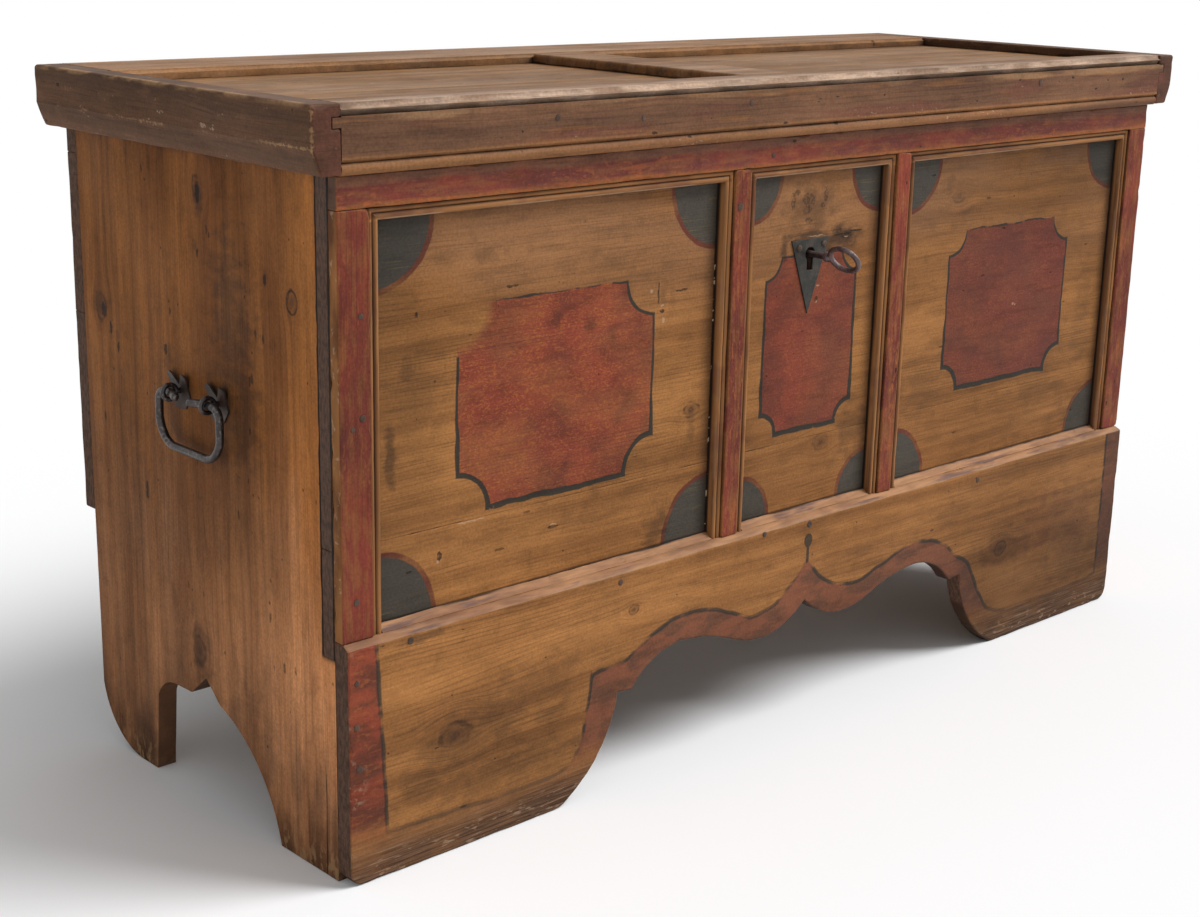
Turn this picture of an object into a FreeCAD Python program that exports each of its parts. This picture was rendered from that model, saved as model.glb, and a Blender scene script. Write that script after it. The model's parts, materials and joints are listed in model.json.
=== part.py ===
import FreeCAD, Part
import math
import os
import types

import Sketcher

# Driving sizes: millimetres, and degrees where the name says angle.
SIZES = {
    # Carcase boards. Heights are above the floor, drops below the carcase's top.
    "carcase_width": 1400,
    "carcase_depth": 530,
    "carcase_height": 776,
    "side_thickness": 24,
    "side_cutout_height": 150,
    "rear_foot_round": 72,
    "front_thickness": 20,
    "front_bottom": 247,
    "front_seam": 363,
    "back_thickness": 22,
    "back_bottom": 290,
    "back_lower_width": 237,
    "back_upper_width": 66,
    "floor_thickness": 22,
    "floor_housing": 8,
    # Apron with its scalloped lower edge.
    "apron_thickness": 22,
    "apron_height": 268,
    "ledge_bevel_depth": 8,
    "ledge_bevel_drop": 5,
    "foot_corner": 18,
    "scallop_half_span": 409,
    "scallop_height": 157,
    # Applied frame and panel mouldings.
    "frame_setback": 8,
    "rail_drop": 37,
    "rail_width": 33,
    "stile_width": 39,
    "muntin_width": 26,
    "left_muntin_offset": 136,
    "right_muntin_offset": 156,
    "moulding_width": 10,
    "moulding_depth": 11,
    "moulding_round": 6,
    # Lid.
    "lid_overhang": 35,
    "lid_board_thickness": 20,
    "lid_rim_height": 12,
    "lid_rim_round": 4,
    "cleat_clearance": 1,
    "cleat_drop": 35,
    "cleat_chamfer_width": 10,
    "cleat_chamfer_height": 26,
    "tongue_length": 10,
    "tongue_thickness": 10,
    "tongue_cover": 1,
    "fascia_projection": 4,
    "fascia_clearance": 1.5,
    "fascia_drop": 36,
    "fascia_bead_height": 12,
    "fascia_bead_depth": 4,
    "fascia_quirk_height": 3,
    "nose_overhang": 1.5,
    "front_rail_width": 48,
    "back_rail_width": 118,
    "batten_width": 87,
    "batten_offset": 63,
    # Strap hinges on the back.
    "hinge_offset": 430,
    "hinge_axis_setback": 6.5,
    "hinge_axis_drop": 1.5,
    "barrel_radius": 6,
    "hinge_pin_radius": 2.5,
    "hinge_pin_fit": 0.2,
    "knuckle_length": 20,
    "knuckle_gap": 0.4,
    "strap_thickness": 3,
    "strap_length": 190,
    "leaf_height": 90,
    # Lock and key.
    "key_drop": 182,
    "key_reach": 57,
    "key_rest_angle": 30,
    "key_stem_radius": 4,
    "key_fit": 0.3,
    "key_pilot_length": 4,
    "collar_radius": 6,
    "collar_length": 5,
    "bow_length": 48,
    "bow_width": 38,
    "bow_wire_radius": 3.3,
    "bit_reach": 14,
    "bit_thickness": 4,
    "bit_width": 8,
    "keyhole_radius": 8.3,
    "keyhole_slot_width": 10.5,
    "keyhole_slot_drop": 20,
    "escutcheon_width": 68,
    "escutcheon_height": 91,
    "escutcheon_rise": 18,
    "escutcheon_thickness": 1.6,
    "lock_plate_width": 150,
    "lock_plate_drop": 38,
    "lock_plate_margin": 36,
    "lock_plate_corner": 14,
    "lock_plate_thickness": 2.5,
    "bolt_thickness": 5,
    "bolt_bar_rise": 8,
    "bolt_bar_height": 16,
    "bolt_left_reach": 60,
    "bolt_right_reach": 54,
    "bolt_arm_width": 14,
    "bolt_finger_height": 8,
    "bolt_tip_gap": 3,
    "talon_width": 10.8,
    "talon_clearance": 0.8,
    "keeper_wall": 4,
    "keeper_length": 12,
    "keeper_fit": 0.4,
    "upper_keeper_offset": 22,
    "lower_keeper_offset": 31,
    "bridge_width": 14,
    "bridge_thickness": 3,
    "bridge_drop": 24,
    "bridge_rise": 42,
    "bridge_clearance": 3,
    # Hasp under the lid.
    "hasp_offset": 2,
    "hasp_drop": 70,
    "hasp_thickness": 4,
    "hasp_width": 18,
    "hasp_setback": 7,
    "hasp_eye_radius": 6.5,
    "hasp_eye_rise": 16,
    "hasp_plate_width": 40,
    "hasp_plate_length": 60,
    "hasp_plate_thickness": 3,
    # Side handles.
    "handle_height": 476,
    "handle_setback": 263,
    "handle_eye_spacing": 76,
    "eye_standoff": 14.5,
    "eye_ring_radius": 8,
    "eye_wire_radius": 2.7,
    "shank_radius": 3,
    "shank_fit": 0.1,
    "shank_embedment": 20,
    "rose_width": 40,
    "rose_height": 42,
    "rose_thickness": 2,
    "bail_width": 121,
    "bail_drop": 59.5,
    "bail_rod_radius": 4.5,
    "bail_elbow_overrun": 4,
    "bail_stub_length": 20,
    "bail_stub_angle": 21,
    "bail_upper_bend": 13,
    "bail_lower_bend": 30,
    # One overrun for every cut that has to pass clean through.
    "overrun": 5,
}

# Half of the apron's scallop, from the foot to the middle: offset from the middle as a share of the half
# span, height as a share of the scallop's height, and the radius of the arc that leads there as a share of
# the half span. Positive radii bulge upwards, negative ones downwards, and zero is a straight stretch.
SCALLOP_SHARES = (
    (1, 0, 0),
    (0.787, 0.752, -0.403),
    (0.733, 0.739, 0),
    (0.543, 0.994, 0.235),
    (0.314, 0.864, 0.549),
    (0, 1, -0.284),
)

# Foot cut-out of a side board, from front to back: place as a share of the board's depth, height as a
# share of the cut-out's height, radius as a share of the depth with the same signs as above.
SIDE_CUTOUT_SHARES = (
    (0.218, 0, 0),
    (0.459, 0.84, 0.36),
    (0.514, 1, 0),
    (0.58, 0.82, 0),
    (0.654, 0.813, 0),
    (0.7325, 0.647, 0.093),
    (0.751, 0, 0),
    (0.829, 0, 0),
)
REAR_FOOT_RADIUS_SHARE = 0.189

# Outline of a handle's rose plate with its two lobes: place as a share of its width, height as a share of
# its height, radius as a share of its width with the same signs as above.
ROSE_SHARES = (
    (0.24, 0.05, 0),
    (0.76, 0.05, -0.9),
    (1, 0.38, 0),
    (0.9, 0.6, 0),
    (0.96, 0.88, 0),
    (0.68, 0.9, -0.15),
    (0.5, 0.66, 0),
    (0.32, 0.9, 0),
    (0.04, 0.88, -0.15),
    (0.1, 0.6, 0),
    (0, 0.38, 0),
)

# Radius of the fascia's bead, as a share of half its height.
BEAD_RADIUS_SHARE = 1.3

# Where the floor boards and the lid boards meet, as shares of the depth that they cover.
FLOOR_SEAM_SHARES = (0, 0.36, 0.7, 1)
LID_SEAM_SHARES = (0, 0.34, 0.68, 1)

HINGE_KNUCKLES = 3
TOLERANCE = 1e-6
X_AXIS = FreeCAD.Vector(1, 0, 0)
Y_AXIS = FreeCAD.Vector(0, 1, 0)
ALONG_X = FreeCAD.Rotation(Y_AXIS, 90)
ALONG_Y = FreeCAD.Rotation(X_AXIS, -90)
Z_AXIS = FreeCAD.Vector(0, 0, 1)
UPRIGHT_ALONG_Y = FreeCAD.Rotation(-Y_AXIS, Z_AXIS, FreeCAD.Vector(), "XYZ")
LEFT = -1
RIGHT = 1

doc = FreeCAD.newDocument("PaintedChest")
nodes = []


class Length:
    """A length with its value and the cell expression that it follows."""

    def __init__(self, value, text):
        self.value = value
        self.text = text

    def __add__(self, other):
        return Length(self.value + other.value, f"({self.text} + {other.text})")

    def __sub__(self, other):
        return Length(self.value - other.value, f"({self.text} - {other.text})")

    def __mul__(self, factor):
        return Length(self.value * factor, f"({self.text} * {factor})")

    def __truediv__(self, factor):
        return Length(self.value / factor, f"({self.text} / {factor})")

    def __neg__(self):
        return Length(-self.value, f"(-{self.text})")


ZERO = Length(0, "0")


def bound_lengths(sheet, aliases):
    """Give a sheet's cells back as lengths that follow them."""
    lengths = {alias: Length(float(sheet.get(alias)), f"{sheet.Label}.{alias}") for alias in aliases}
    return types.SimpleNamespace(**lengths)


def fill_sheet():
    """Put the driving sizes in a sheet and give them back as lengths bound to its cells."""
    sheet = doc.addObject("Spreadsheet::Sheet", "Sizes")
    for row, (alias, value) in enumerate(SIZES.items(), start=1):
        sheet.set(f"A{row}", alias)
        sheet.set(f"B{row}", str(value))
        sheet.setAlias(f"B{row}", alias)
    doc.recompute()
    return bound_lengths(sheet, SIZES)


def fill_places(lengths):
    """Keep worked-out places in a second sheet, so that every piece follows the same ones."""
    sheet = doc.addObject("Spreadsheet::Sheet", "Places")
    for row, (alias, length) in enumerate(lengths.items(), start=1):
        sheet.set(f"A{row}", alias)
        sheet.set(f"B{row}", f"={length.text}")
        sheet.setAlias(f"B{row}", alias)
    doc.recompute()
    return bound_lengths(sheet, lengths)


size = fill_sheet()

# The middle of the whole depth, from the key's bow to the hinge barrels, is the frame's Y zero.
hinge_reach = size.carcase_depth + size.hinge_axis_setback
apron_front = (size.key_reach - hinge_reach - size.barrel_radius) / 2
front_face = apron_front + size.apron_thickness
inner_front = front_face + size.front_thickness
back_face = apron_front + size.carcase_depth
lid_top = size.carcase_height + size.lid_board_thickness + size.lid_rim_height
eye_back = inner_front + size.hasp_setback + size.hasp_width / 2
key_height = size.carcase_height - size.key_drop
rail_top = size.carcase_height - size.rail_drop
place = fill_places({
    "half_width": size.carcase_width / 2,
    "inner_half": size.carcase_width / 2 - size.side_thickness,
    "apron_front": apron_front,
    "frame_front": apron_front + size.frame_setback,
    "front_face": front_face,
    "inner_front": inner_front,
    "back_face": back_face,
    "back_inner": back_face - size.back_thickness,
    "back_lower_seam": size.back_bottom + size.back_lower_width,
    "back_upper_seam": size.carcase_height - size.back_upper_width,
    "floor_top": size.back_bottom + size.floor_thickness,
    "rail_top": rail_top,
    "rail_bottom": rail_top - size.rail_width,
    "lid_inner": size.carcase_width / 2 + size.cleat_clearance,
    "lid_outer": size.carcase_width / 2 + size.lid_overhang,
    "lid_top": lid_top,
    "cleat_bottom": size.carcase_height - size.cleat_drop,
    "fascia_bottom": size.carcase_height - size.fascia_drop,
    "rim_bottom": lid_top - size.lid_rim_height,
    "fascia_front": apron_front - size.fascia_projection,
    "fascia_back": front_face - size.fascia_clearance,
    "rail_front": apron_front - size.fascia_projection - size.nose_overhang,
    "tongue_top": lid_top - size.lid_rim_height - size.tongue_cover,
    "hinge_y": back_face + size.hinge_axis_setback,
    "hinge_z": size.carcase_height - size.hinge_axis_drop,
    "strap_half": size.knuckle_length / 2 - size.knuckle_gap,
    "key_height": key_height,
    "plate_back": inner_front + size.lock_plate_thickness,
    "plate_bottom": key_height - size.lock_plate_margin,
    "plate_top": size.carcase_height - size.lock_plate_drop,
    "eye_y": eye_back,
    "eye_z": size.carcase_height - size.hasp_drop + size.hasp_eye_rise,
    "bolt_near": eye_back - size.bolt_thickness / 2,
    "bolt_far": eye_back + size.bolt_thickness / 2,
    "bar_bottom": key_height + size.bolt_bar_rise,
    "bridge_near": eye_back + size.bolt_thickness / 2 + size.bridge_clearance,
    "bow_end": apron_front - size.key_reach,
})


def placed(item, x, y, z, rotation=FreeCAD.Rotation()):
    """Turn an object and bind its base to lengths."""
    item.Placement = FreeCAD.Placement(FreeCAD.Vector(x.value, y.value, z.value), rotation)
    for axis, length in (("x", x), ("y", y), ("z", z)):
        item.setExpression(f"Placement.Base.{axis}", length.text)
    return item


def node(item):
    """List an object as a sub-part of the chest. Its label names its file."""
    nodes.append(item)
    return item


def box(name, x, y, z):
    """Make a box between two lengths on each axis."""
    item = doc.addObject("Part::Box", name)
    for prop, (low, high) in (("Length", x), ("Width", y), ("Height", z)):
        item.setExpression(prop, (high - low).text)
    return placed(item, x[0], y[0], z[0])


def cylinder(name, radius, length, x, y, z, rotation):
    """Make a cylinder that starts at a place and runs along the turned axis."""
    item = doc.addObject("Part::Cylinder", name)
    item.setExpression("Radius", radius.text)
    item.setExpression("Height", length.text)
    return placed(item, x, y, z, rotation)


def ball(name, radius, x, y, z):
    item = doc.addObject("Part::Sphere", name)
    item.setExpression("Radius", radius.text)
    return placed(item, x, y, z)


def fuse(name, parts):
    item = doc.addObject("Part::MultiFuse", name)
    item.Shapes = parts
    item.Refine = True
    return item


def cut(name, base, tools):
    item = doc.addObject("Part::Cut", name)
    item.Base = base
    item.Tool = tools[0] if len(tools) == 1 else fuse(f"{name}_tools", tools)
    return item


def group(name, parts):
    """Keep several separate solids of one kind in one node."""
    item = doc.addObject("Part::Compound", name)
    item.Links = parts
    return item


def bulging_left(radius):
    return radius, 1


def bulging_right(radius):
    return radius, -1


def bulge(share, length):
    """Turn a signed radius share into an arc, or None for a straight stretch."""
    if share == 0:
        return None
    return bulging_left(length * share) if share > 0 else bulging_right(length * -share)


def arc_middle(start, end, radius, turn):
    """The middle of the short arc of a radius that joins two points on the given side."""
    chord = end - start
    rise = radius - math.sqrt(radius ** 2 - chord.Length ** 2 / 4)
    normal = FreeCAD.Vector(-chord.y, chord.x, 0).normalize()
    return (start + end) / 2 + normal * turn * rise


def pin_point(sketch, geometry, position, across, up):
    """Bind one end of a sketched edge to its two coordinates."""
    for kind, length, axis in (("DistanceX", across, -2), ("DistanceY", up, -1)):
        if length.value == 0:
            sketch.addConstraint(Sketcher.Constraint("PointOnObject", geometry, position, axis))
        else:
            number = sketch.addConstraint(Sketcher.Constraint(kind, -1, 1, geometry, position, length.value))
            sketch.setExpression(f"Constraints[{number}]", length.text)


def draw(sketch, path, closed=True):
    """Draw lines and arcs through (across, up, arc that leads there) points and bind all of them."""
    points = [FreeCAD.Vector(across.value, up.value, 0) for across, up, arc in path]
    edges = []
    for index in range(0 if closed else 1, len(path)):
        start, end = points[index - 1], points[index]
        arc = path[index][2]
        clockwise = arc is not None and arc[1] > 0
        if arc is None:
            edge = Part.LineSegment(start, end)
        elif clockwise:
            edge = Part.Arc(end, arc_middle(start, end, arc[0].value, arc[1]), start)
        else:
            edge = Part.Arc(start, arc_middle(start, end, arc[0].value, arc[1]), end)
        geometry = sketch.addGeometry(edge, False)
        edges.append((geometry, 2 if clockwise else 1, 1 if clockwise else 2, index))
    for place_in_row, (geometry, start_end, far_end, index) in enumerate(edges):
        if place_in_row or closed:
            before, before_start, before_far, before_index = edges[place_in_row - 1]
            joint = Sketcher.Constraint("Coincident", before, before_far, geometry, start_end)
            sketch.addConstraint(joint)
        else:
            pin_point(sketch, geometry, start_end, path[0][0], path[0][1])
    for geometry, start_end, far_end, index in edges:
        across, up, arc = path[index]
        pin_point(sketch, geometry, far_end, across, up)
        if arc is not None:
            number = sketch.addConstraint(Sketcher.Constraint("Radius", geometry, arc[0].value))
            sketch.setExpression(f"Constraints[{number}]", arc[0].text)


def new_sketch(body, role, name):
    """Start a sketch on one of the body's own origin planes."""
    sketch = body.newObject("Sketcher::SketchObject", name)
    plane = next(feature for feature in body.Origin.OriginFeatures if feature.Role == role)
    sketch.AttachmentSupport = (plane, [""])
    sketch.MapMode = "FlatFace"
    return sketch


def padded(name, role, path, length, x, y, z):
    """Make a body from one outline, padded towards the positive side of its plane."""
    body = doc.addObject("PartDesign::Body", name)
    sketch = new_sketch(body, role, f"{name}_outline")
    draw(sketch, path)
    pad = body.newObject("PartDesign::Pad", f"{name}_pad")
    pad.Profile = sketch
    pad.setExpression("Length", length.text)
    pad.Reversed = role == "XZ_Plane"
    return placed(body, x, y, z)


def dress_edge(body, kind, name, chosen, sizes):
    """Add a fillet or chamfer to the edges of a body's tip that a test chooses."""
    doc.recompute()
    tip = body.Tip
    names = [f"Edge{number}" for number, edge in enumerate(tip.Shape.Edges, start=1) if chosen(edge.BoundBox)]
    feature = body.newObject(kind, name)
    feature.Base = (tip, names)
    if len(sizes) > 1:
        feature.ChamferType = "Two distances"
    for prop, length in sizes.items():
        feature.setExpression(prop, length.text)
    return body


def corners(*points):
    """A path of straight stretches."""
    return [(across, up, None) for across, up in points]


def span(side, near, far):
    """The low and high X of a piece that lies between two distances from the middle, on one side."""
    return (near, far) if side == RIGHT else (-far, -near)


def apron_board():
    width = size.carcase_width
    middle = width / 2
    half = []
    for offset, rise, radius in SCALLOP_SHARES:
        arc = bulge(radius, size.scallop_half_span)
        half.append((middle - size.scallop_half_span * offset, size.scallop_height * rise, arc))
    mirrored = []
    for index in range(len(half) - 1, 0, -1):
        across, up, arc = half[index - 1]
        mirrored.append((width - across, up, half[index][2]))
    corner = size.foot_corner
    path = half + mirrored
    path.append((width - corner, ZERO, None))
    path.append((width, corner, bulging_right(corner)))
    path.append((width, size.apron_height, None))
    path.append((ZERO, size.apron_height, None))
    path.append((ZERO, corner, None))
    path.append((corner, ZERO, bulging_right(corner)))
    body = padded("apron_board", "XZ_Plane", path, size.apron_thickness, -place.half_width, place.apron_front,
                  ZERO)

    def front_top(bounds):
        low, high = size.apron_height.value - TOLERANCE, TOLERANCE
        return bounds.ZMin > low and bounds.YMax < high

    bevel = {"Size": size.ledge_bevel_depth, "Size2": size.ledge_bevel_drop}
    node(dress_edge(body, "PartDesign::Chamfer", "apron_ledge_bevel", front_top, bevel))


def side_board(name, side):
    """A side that runs to the floor, notched at the front and housed for the floor boards."""
    depth = place.back_inner - place.front_face
    path = [(ZERO, ZERO, None)]
    for offset, rise, radius in SIDE_CUTOUT_SHARES:
        path.append((depth * offset, size.side_cutout_height * rise, bulge(radius, depth)))
    path.append((depth, size.rear_foot_round, bulging_right(depth * REAR_FOOT_RADIUS_SHARE)))
    path += corners(
        (depth, size.carcase_height),
        (size.front_thickness, size.carcase_height),
        (size.front_thickness, size.front_bottom),
        (ZERO, size.front_bottom),
    )
    low, high = span(side, place.inner_half, place.half_width)
    blank = padded(f"{name}_blank", "YZ_Plane", path, size.side_thickness, low, place.front_face, ZERO)
    housing_x = span(side, place.inner_half - size.overrun, place.inner_half + size.floor_housing)
    housing = box(f"{name}_housing", housing_x, (place.inner_front, place.back_inner),
                  (size.back_bottom, place.floor_top))
    holes = [shank_hole(f"{name}_shank_hole_{place_word}", side, y) for place_word, y in handle_eyes()]
    node(cut(name, blank, [housing] + holes))


def keyhole(name, near, far):
    """The keyhole's round and slot, as one tool between two planes."""
    round_hole = cylinder(f"{name}_round", size.keyhole_radius, far - near, ZERO, near, place.key_height,
                          ALONG_Y)
    half_slot = size.keyhole_slot_width / 2
    slot = box(f"{name}_slot", (-half_slot, half_slot), (near, far),
               (place.key_height - size.keyhole_slot_drop, place.key_height))
    return fuse(name, [round_hole, slot])


def front_boards():
    width = (-place.half_width, place.half_width)
    depth = (place.front_face, place.inner_front)
    node(box("front_board_lower", width, depth, (size.front_bottom, size.front_seam)))
    upper = box("front_board_upper_blank", width, depth, (size.front_seam, size.carcase_height))
    hole = keyhole("front_keyhole", place.front_face - size.overrun, place.inner_front + size.overrun)
    node(cut("front_board_upper", upper, [hole]))


def back_boards():
    width = (-place.half_width, place.half_width)
    depth = (place.back_inner, place.back_face)
    node(box("back_board_lower", width, depth, (size.back_bottom, place.back_lower_seam)))
    node(box("back_board_middle", width, depth, (place.back_lower_seam, place.back_upper_seam)))
    upper = box("back_board_upper_blank", width, depth, (place.back_upper_seam, size.carcase_height))
    half_notch = size.knuckle_length / 2
    floor_of_notch = size.carcase_height - size.strap_thickness - size.knuckle_gap
    notches = []
    for word, middle in (("left", -size.hinge_offset), ("right", size.hinge_offset)):
        notches.append(box(f"strap_notch_{word}", (middle - half_notch, middle + half_notch),
                           (place.back_inner - size.overrun, place.back_face + size.overrun),
                           (floor_of_notch, size.carcase_height + size.overrun)))
    node(cut("back_board_upper", upper, notches))


def floor_boards():
    reach = place.inner_half + size.floor_housing
    depth = place.back_inner - place.inner_front
    for index, name in enumerate(("floor_board_front", "floor_board_middle", "floor_board_rear")):
        near = place.inner_front + depth * FLOOR_SEAM_SHARES[index]
        far = place.inner_front + depth * FLOOR_SEAM_SHARES[index + 1]
        node(box(name, (-reach, reach), (near, far), (size.back_bottom, place.floor_top)))


def frame_members():
    """Top rail, stiles and muntins, planted on the front boards above the apron's ledge."""
    depth = (place.frame_front, place.front_face)
    upright = (size.apron_height, place.rail_bottom)
    width = (-place.half_width, place.half_width)
    node(box("frame_top_rail", width, depth, (place.rail_bottom, place.rail_top)))
    inner_edge = place.half_width - size.stile_width
    node(box("frame_stile_left", (-place.half_width, -inner_edge), depth, upright))
    node(box("frame_stile_right", (inner_edge, place.half_width), depth, upright))
    half = size.muntin_width / 2
    left = (-size.left_muntin_offset - half, -size.left_muntin_offset + half)
    right = (size.right_muntin_offset - half, size.right_muntin_offset + half)
    node(box("frame_muntin_left", left, depth, upright))
    node(box("frame_muntin_right", right, depth, upright))
    return (("left", -inner_edge, left[0]), ("centre", left[1], right[0]), ("right", right[1], inner_edge))


def moulding_strip(name, path, x, rounded):
    """One mitred strip with its inner front edge rounded over."""
    body = padded(name, "XZ_Plane", path, size.moulding_depth, x, place.front_face - size.moulding_depth,
                  size.apron_height)
    node(dress_edge(body, "PartDesign::Fillet", f"{name}_round", rounded, {"Radius": size.moulding_round}))


def panel_mouldings(panel, low, high):
    """The top strip and the two side strips round one panel. The apron's ledge closes the bottom."""
    width = high - low
    height = place.rail_bottom - size.apron_height
    thick = size.moulding_width
    top = corners((ZERO, height), (thick, height - thick), (width - thick, height - thick), (width, height))
    left = corners((ZERO, ZERO), (thick, ZERO), (thick, height - thick), (ZERO, height))
    right = corners((width, ZERO), (width, height), (width - thick, height - thick), (width - thick, ZERO))

    def at_front(bounds):
        return bounds.YMax < TOLERANCE

    def both_at(low_end, high_end, level):
        return abs(low_end - level.value) < TOLERANCE and abs(high_end - level.value) < TOLERANCE

    def upright_at(across):
        def chosen(bounds):
            return at_front(bounds) and both_at(bounds.XMin, bounds.XMax, across)
        return chosen

    def under_top(bounds):
        return at_front(bounds) and both_at(bounds.ZMin, bounds.ZMax, height - thick)

    moulding_strip(f"moulding_{panel}_top", top, low, under_top)
    moulding_strip(f"moulding_{panel}_left", left, low, upright_at(thick))
    moulding_strip(f"moulding_{panel}_right", right, low, upright_at(width - thick))


def lid_boards():
    depth = place.back_face - place.fascia_back
    tongue_reach = place.lid_inner + size.tongue_length
    for index, name in enumerate(("lid_board_front", "lid_board_middle", "lid_board_rear")):
        near = place.fascia_back + depth * LID_SEAM_SHARES[index]
        far = place.fascia_back + depth * LID_SEAM_SHARES[index + 1]
        board = box(f"{name}_blank", (-place.lid_inner, place.lid_inner), (near, far),
                    (size.carcase_height, place.rim_bottom))
        tongue = box(f"{name}_tongue", (-tongue_reach, tongue_reach), (near, far),
                     (place.tongue_top - size.tongue_thickness, place.tongue_top))
        node(fuse(name, [board, tongue]))


def lid_cleat(name, side):
    """An end cleat, grooved inside for the boards' tongues and chamfered below outside."""
    thick = place.lid_outer - place.lid_inner
    height = place.lid_top - place.cleat_bottom
    groove_top = place.tongue_top - place.cleat_bottom
    groove_bottom = groove_top - size.tongue_thickness
    rounding = size.lid_rim_round
    groove_floor = thick - size.tongue_length
    outer_first = [
        (size.cleat_chamfer_width, ZERO, None),
        (thick, ZERO, None),
        (thick, groove_bottom, None),
        (groove_floor, groove_bottom, None),
        (groove_floor, groove_top, None),
        (thick, groove_top, None),
        (thick, height, None),
        (rounding, height, None),
        (ZERO, height - rounding, bulging_right(rounding)),
        (ZERO, size.cleat_chamfer_height, None),
    ]
    if side == RIGHT:
        path = [(thick - across, up, arc and bulging_left(arc[0])) for across, up, arc in outer_first]
    else:
        path = outer_first
    low, high = span(side, place.lid_inner, place.lid_outer)
    node(padded(name, "XZ_Plane", path, place.back_face - place.fascia_front, low, place.fascia_front,
                place.cleat_bottom))


def lid_fascia():
    """The front board of the lid, with a quirk and bead along its lower edge and a tongue at each end."""
    thick = place.fascia_back - place.fascia_front
    height = place.rim_bottom - place.fascia_bottom
    inset = size.fascia_bead_depth
    half_bead = size.fascia_bead_height / 2
    bead_radius = half_bead * BEAD_RADIUS_SHARE
    quirk_top = size.fascia_bead_height + size.fascia_quirk_height
    path = [
        (thick, ZERO, None),
        (thick, height, None),
        (ZERO, height, None),
        (ZERO, quirk_top, None),
        (inset, size.fascia_bead_height, None),
        (ZERO, half_bead, bulging_right(bead_radius)),
        (inset, ZERO, bulging_right(bead_radius)),
    ]
    blank = padded("lid_fascia_blank", "YZ_Plane", path, place.lid_inner * 2, -place.lid_inner,
                   place.fascia_front, place.fascia_bottom)
    tongue_reach = place.lid_inner + size.tongue_length
    tongue = box("lid_fascia_tongue", (-tongue_reach, tongue_reach), (place.fascia_front, place.fascia_back),
                 (place.tongue_top - size.tongue_thickness, place.tongue_top))
    node(fuse("lid_fascia", [blank, tongue]))


def lid_rim():
    """Front rail with a round nose, back rail and cross batten, planted on the lid boards."""
    height = size.lid_rim_height
    nose = height / 2
    width = size.front_rail_width
    front = [
        (width, ZERO, None),
        (width, height, None),
        (nose, height, None),
        (ZERO, nose, bulging_left(nose)),
        (nose, ZERO, bulging_left(nose)),
    ]
    length = place.lid_inner * 2
    node(padded("lid_front_rail", "YZ_Plane", front, length, -place.lid_inner, place.rail_front,
                place.rim_bottom))
    rounding = size.lid_rim_round
    back = [
        (ZERO, ZERO, None),
        (size.back_rail_width, ZERO, None),
        (size.back_rail_width, height, None),
        (rounding, height, None),
        (ZERO, height - rounding, bulging_left(rounding)),
    ]
    back_rail_front = place.back_face - size.back_rail_width
    node(padded("lid_back_rail", "YZ_Plane", back, length, -place.lid_inner, back_rail_front,
                place.rim_bottom))
    batten = [
        (ZERO, ZERO, None),
        (size.batten_width, ZERO, None),
        (size.batten_width, height - rounding, None),
        (size.batten_width - rounding, height, bulging_right(rounding)),
        (rounding, height, None),
        (ZERO, height - rounding, bulging_right(rounding)),
    ]
    batten_front = place.rail_front + size.front_rail_width
    node(padded("lid_batten", "XZ_Plane", batten, back_rail_front - batten_front,
                -size.batten_offset - size.batten_width / 2, batten_front, place.rim_bottom))


def hinge(word, middle):
    """A strap under the lid and a leaf on the back, whose knuckles share one pin."""
    half_knuckle = size.knuckle_length / 2
    barrel_length = size.knuckle_length * HINGE_KNUCKLES
    half_barrel = barrel_length / 2
    hole_radius = size.hinge_pin_radius + size.hinge_pin_fit
    strap_x = (middle - place.strap_half, middle + place.strap_half)
    strap = box(f"strap_band_{word}", strap_x, (place.hinge_y - size.strap_length, place.hinge_y),
                (size.carcase_height - size.strap_thickness, size.carcase_height))
    knuckle = cylinder(f"strap_knuckle_{word}", size.barrel_radius, place.strap_half * 2, strap_x[0],
                       place.hinge_y, place.hinge_z, ALONG_X)
    strap_hole = cylinder(f"strap_hole_{word}", hole_radius, barrel_length, middle - half_barrel,
                          place.hinge_y, place.hinge_z, ALONG_X)
    node(cut(f"hinge_strap_{word}", fuse(f"strap_blank_{word}", [strap, knuckle]), [strap_hole]))

    leaf_y = (place.back_face, place.back_face + size.strap_thickness)
    under_barrel = place.hinge_z - size.barrel_radius - size.knuckle_gap
    leaf_parts = [box(f"leaf_plate_{word}", (middle - half_barrel, middle + half_barrel), leaf_y,
                      (place.hinge_z - size.leaf_height, under_barrel))]
    for end, low, high in (("a", -half_barrel, -half_knuckle), ("b", half_knuckle, half_barrel)):
        leaf_parts.append(box(f"leaf_tab_{word}_{end}", (middle + low, middle + high), leaf_y,
                              (under_barrel, place.hinge_z)))
        leaf_parts.append(cylinder(f"leaf_knuckle_{word}_{end}", size.barrel_radius, high - low, middle + low,
                                   place.hinge_y, place.hinge_z, ALONG_X))
    leaf_hole = cylinder(f"leaf_hole_{word}", hole_radius, barrel_length, middle - half_barrel,
                         place.hinge_y, place.hinge_z, ALONG_X)
    node(cut(f"hinge_leaf_{word}", fuse(f"leaf_blank_{word}", leaf_parts), [leaf_hole]))
    return cylinder(f"hinge_pin_{word}", size.hinge_pin_radius, barrel_length, middle - half_barrel,
                    place.hinge_y, place.hinge_z, ALONG_X)


def escutcheon():
    half = size.escutcheon_width / 2
    height = size.escutcheon_height
    path = corners((half, ZERO), (half * 2, height), (ZERO, height))
    top = place.key_height + size.escutcheon_rise
    near = place.front_face - size.escutcheon_thickness
    blank = padded("escutcheon_blank", "XZ_Plane", path, size.escutcheon_thickness, -half, near, top - height)
    hole = keyhole("escutcheon_keyhole", near - size.overrun, place.front_face + size.overrun)
    node(cut("escutcheon", blank, [hole]))


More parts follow.
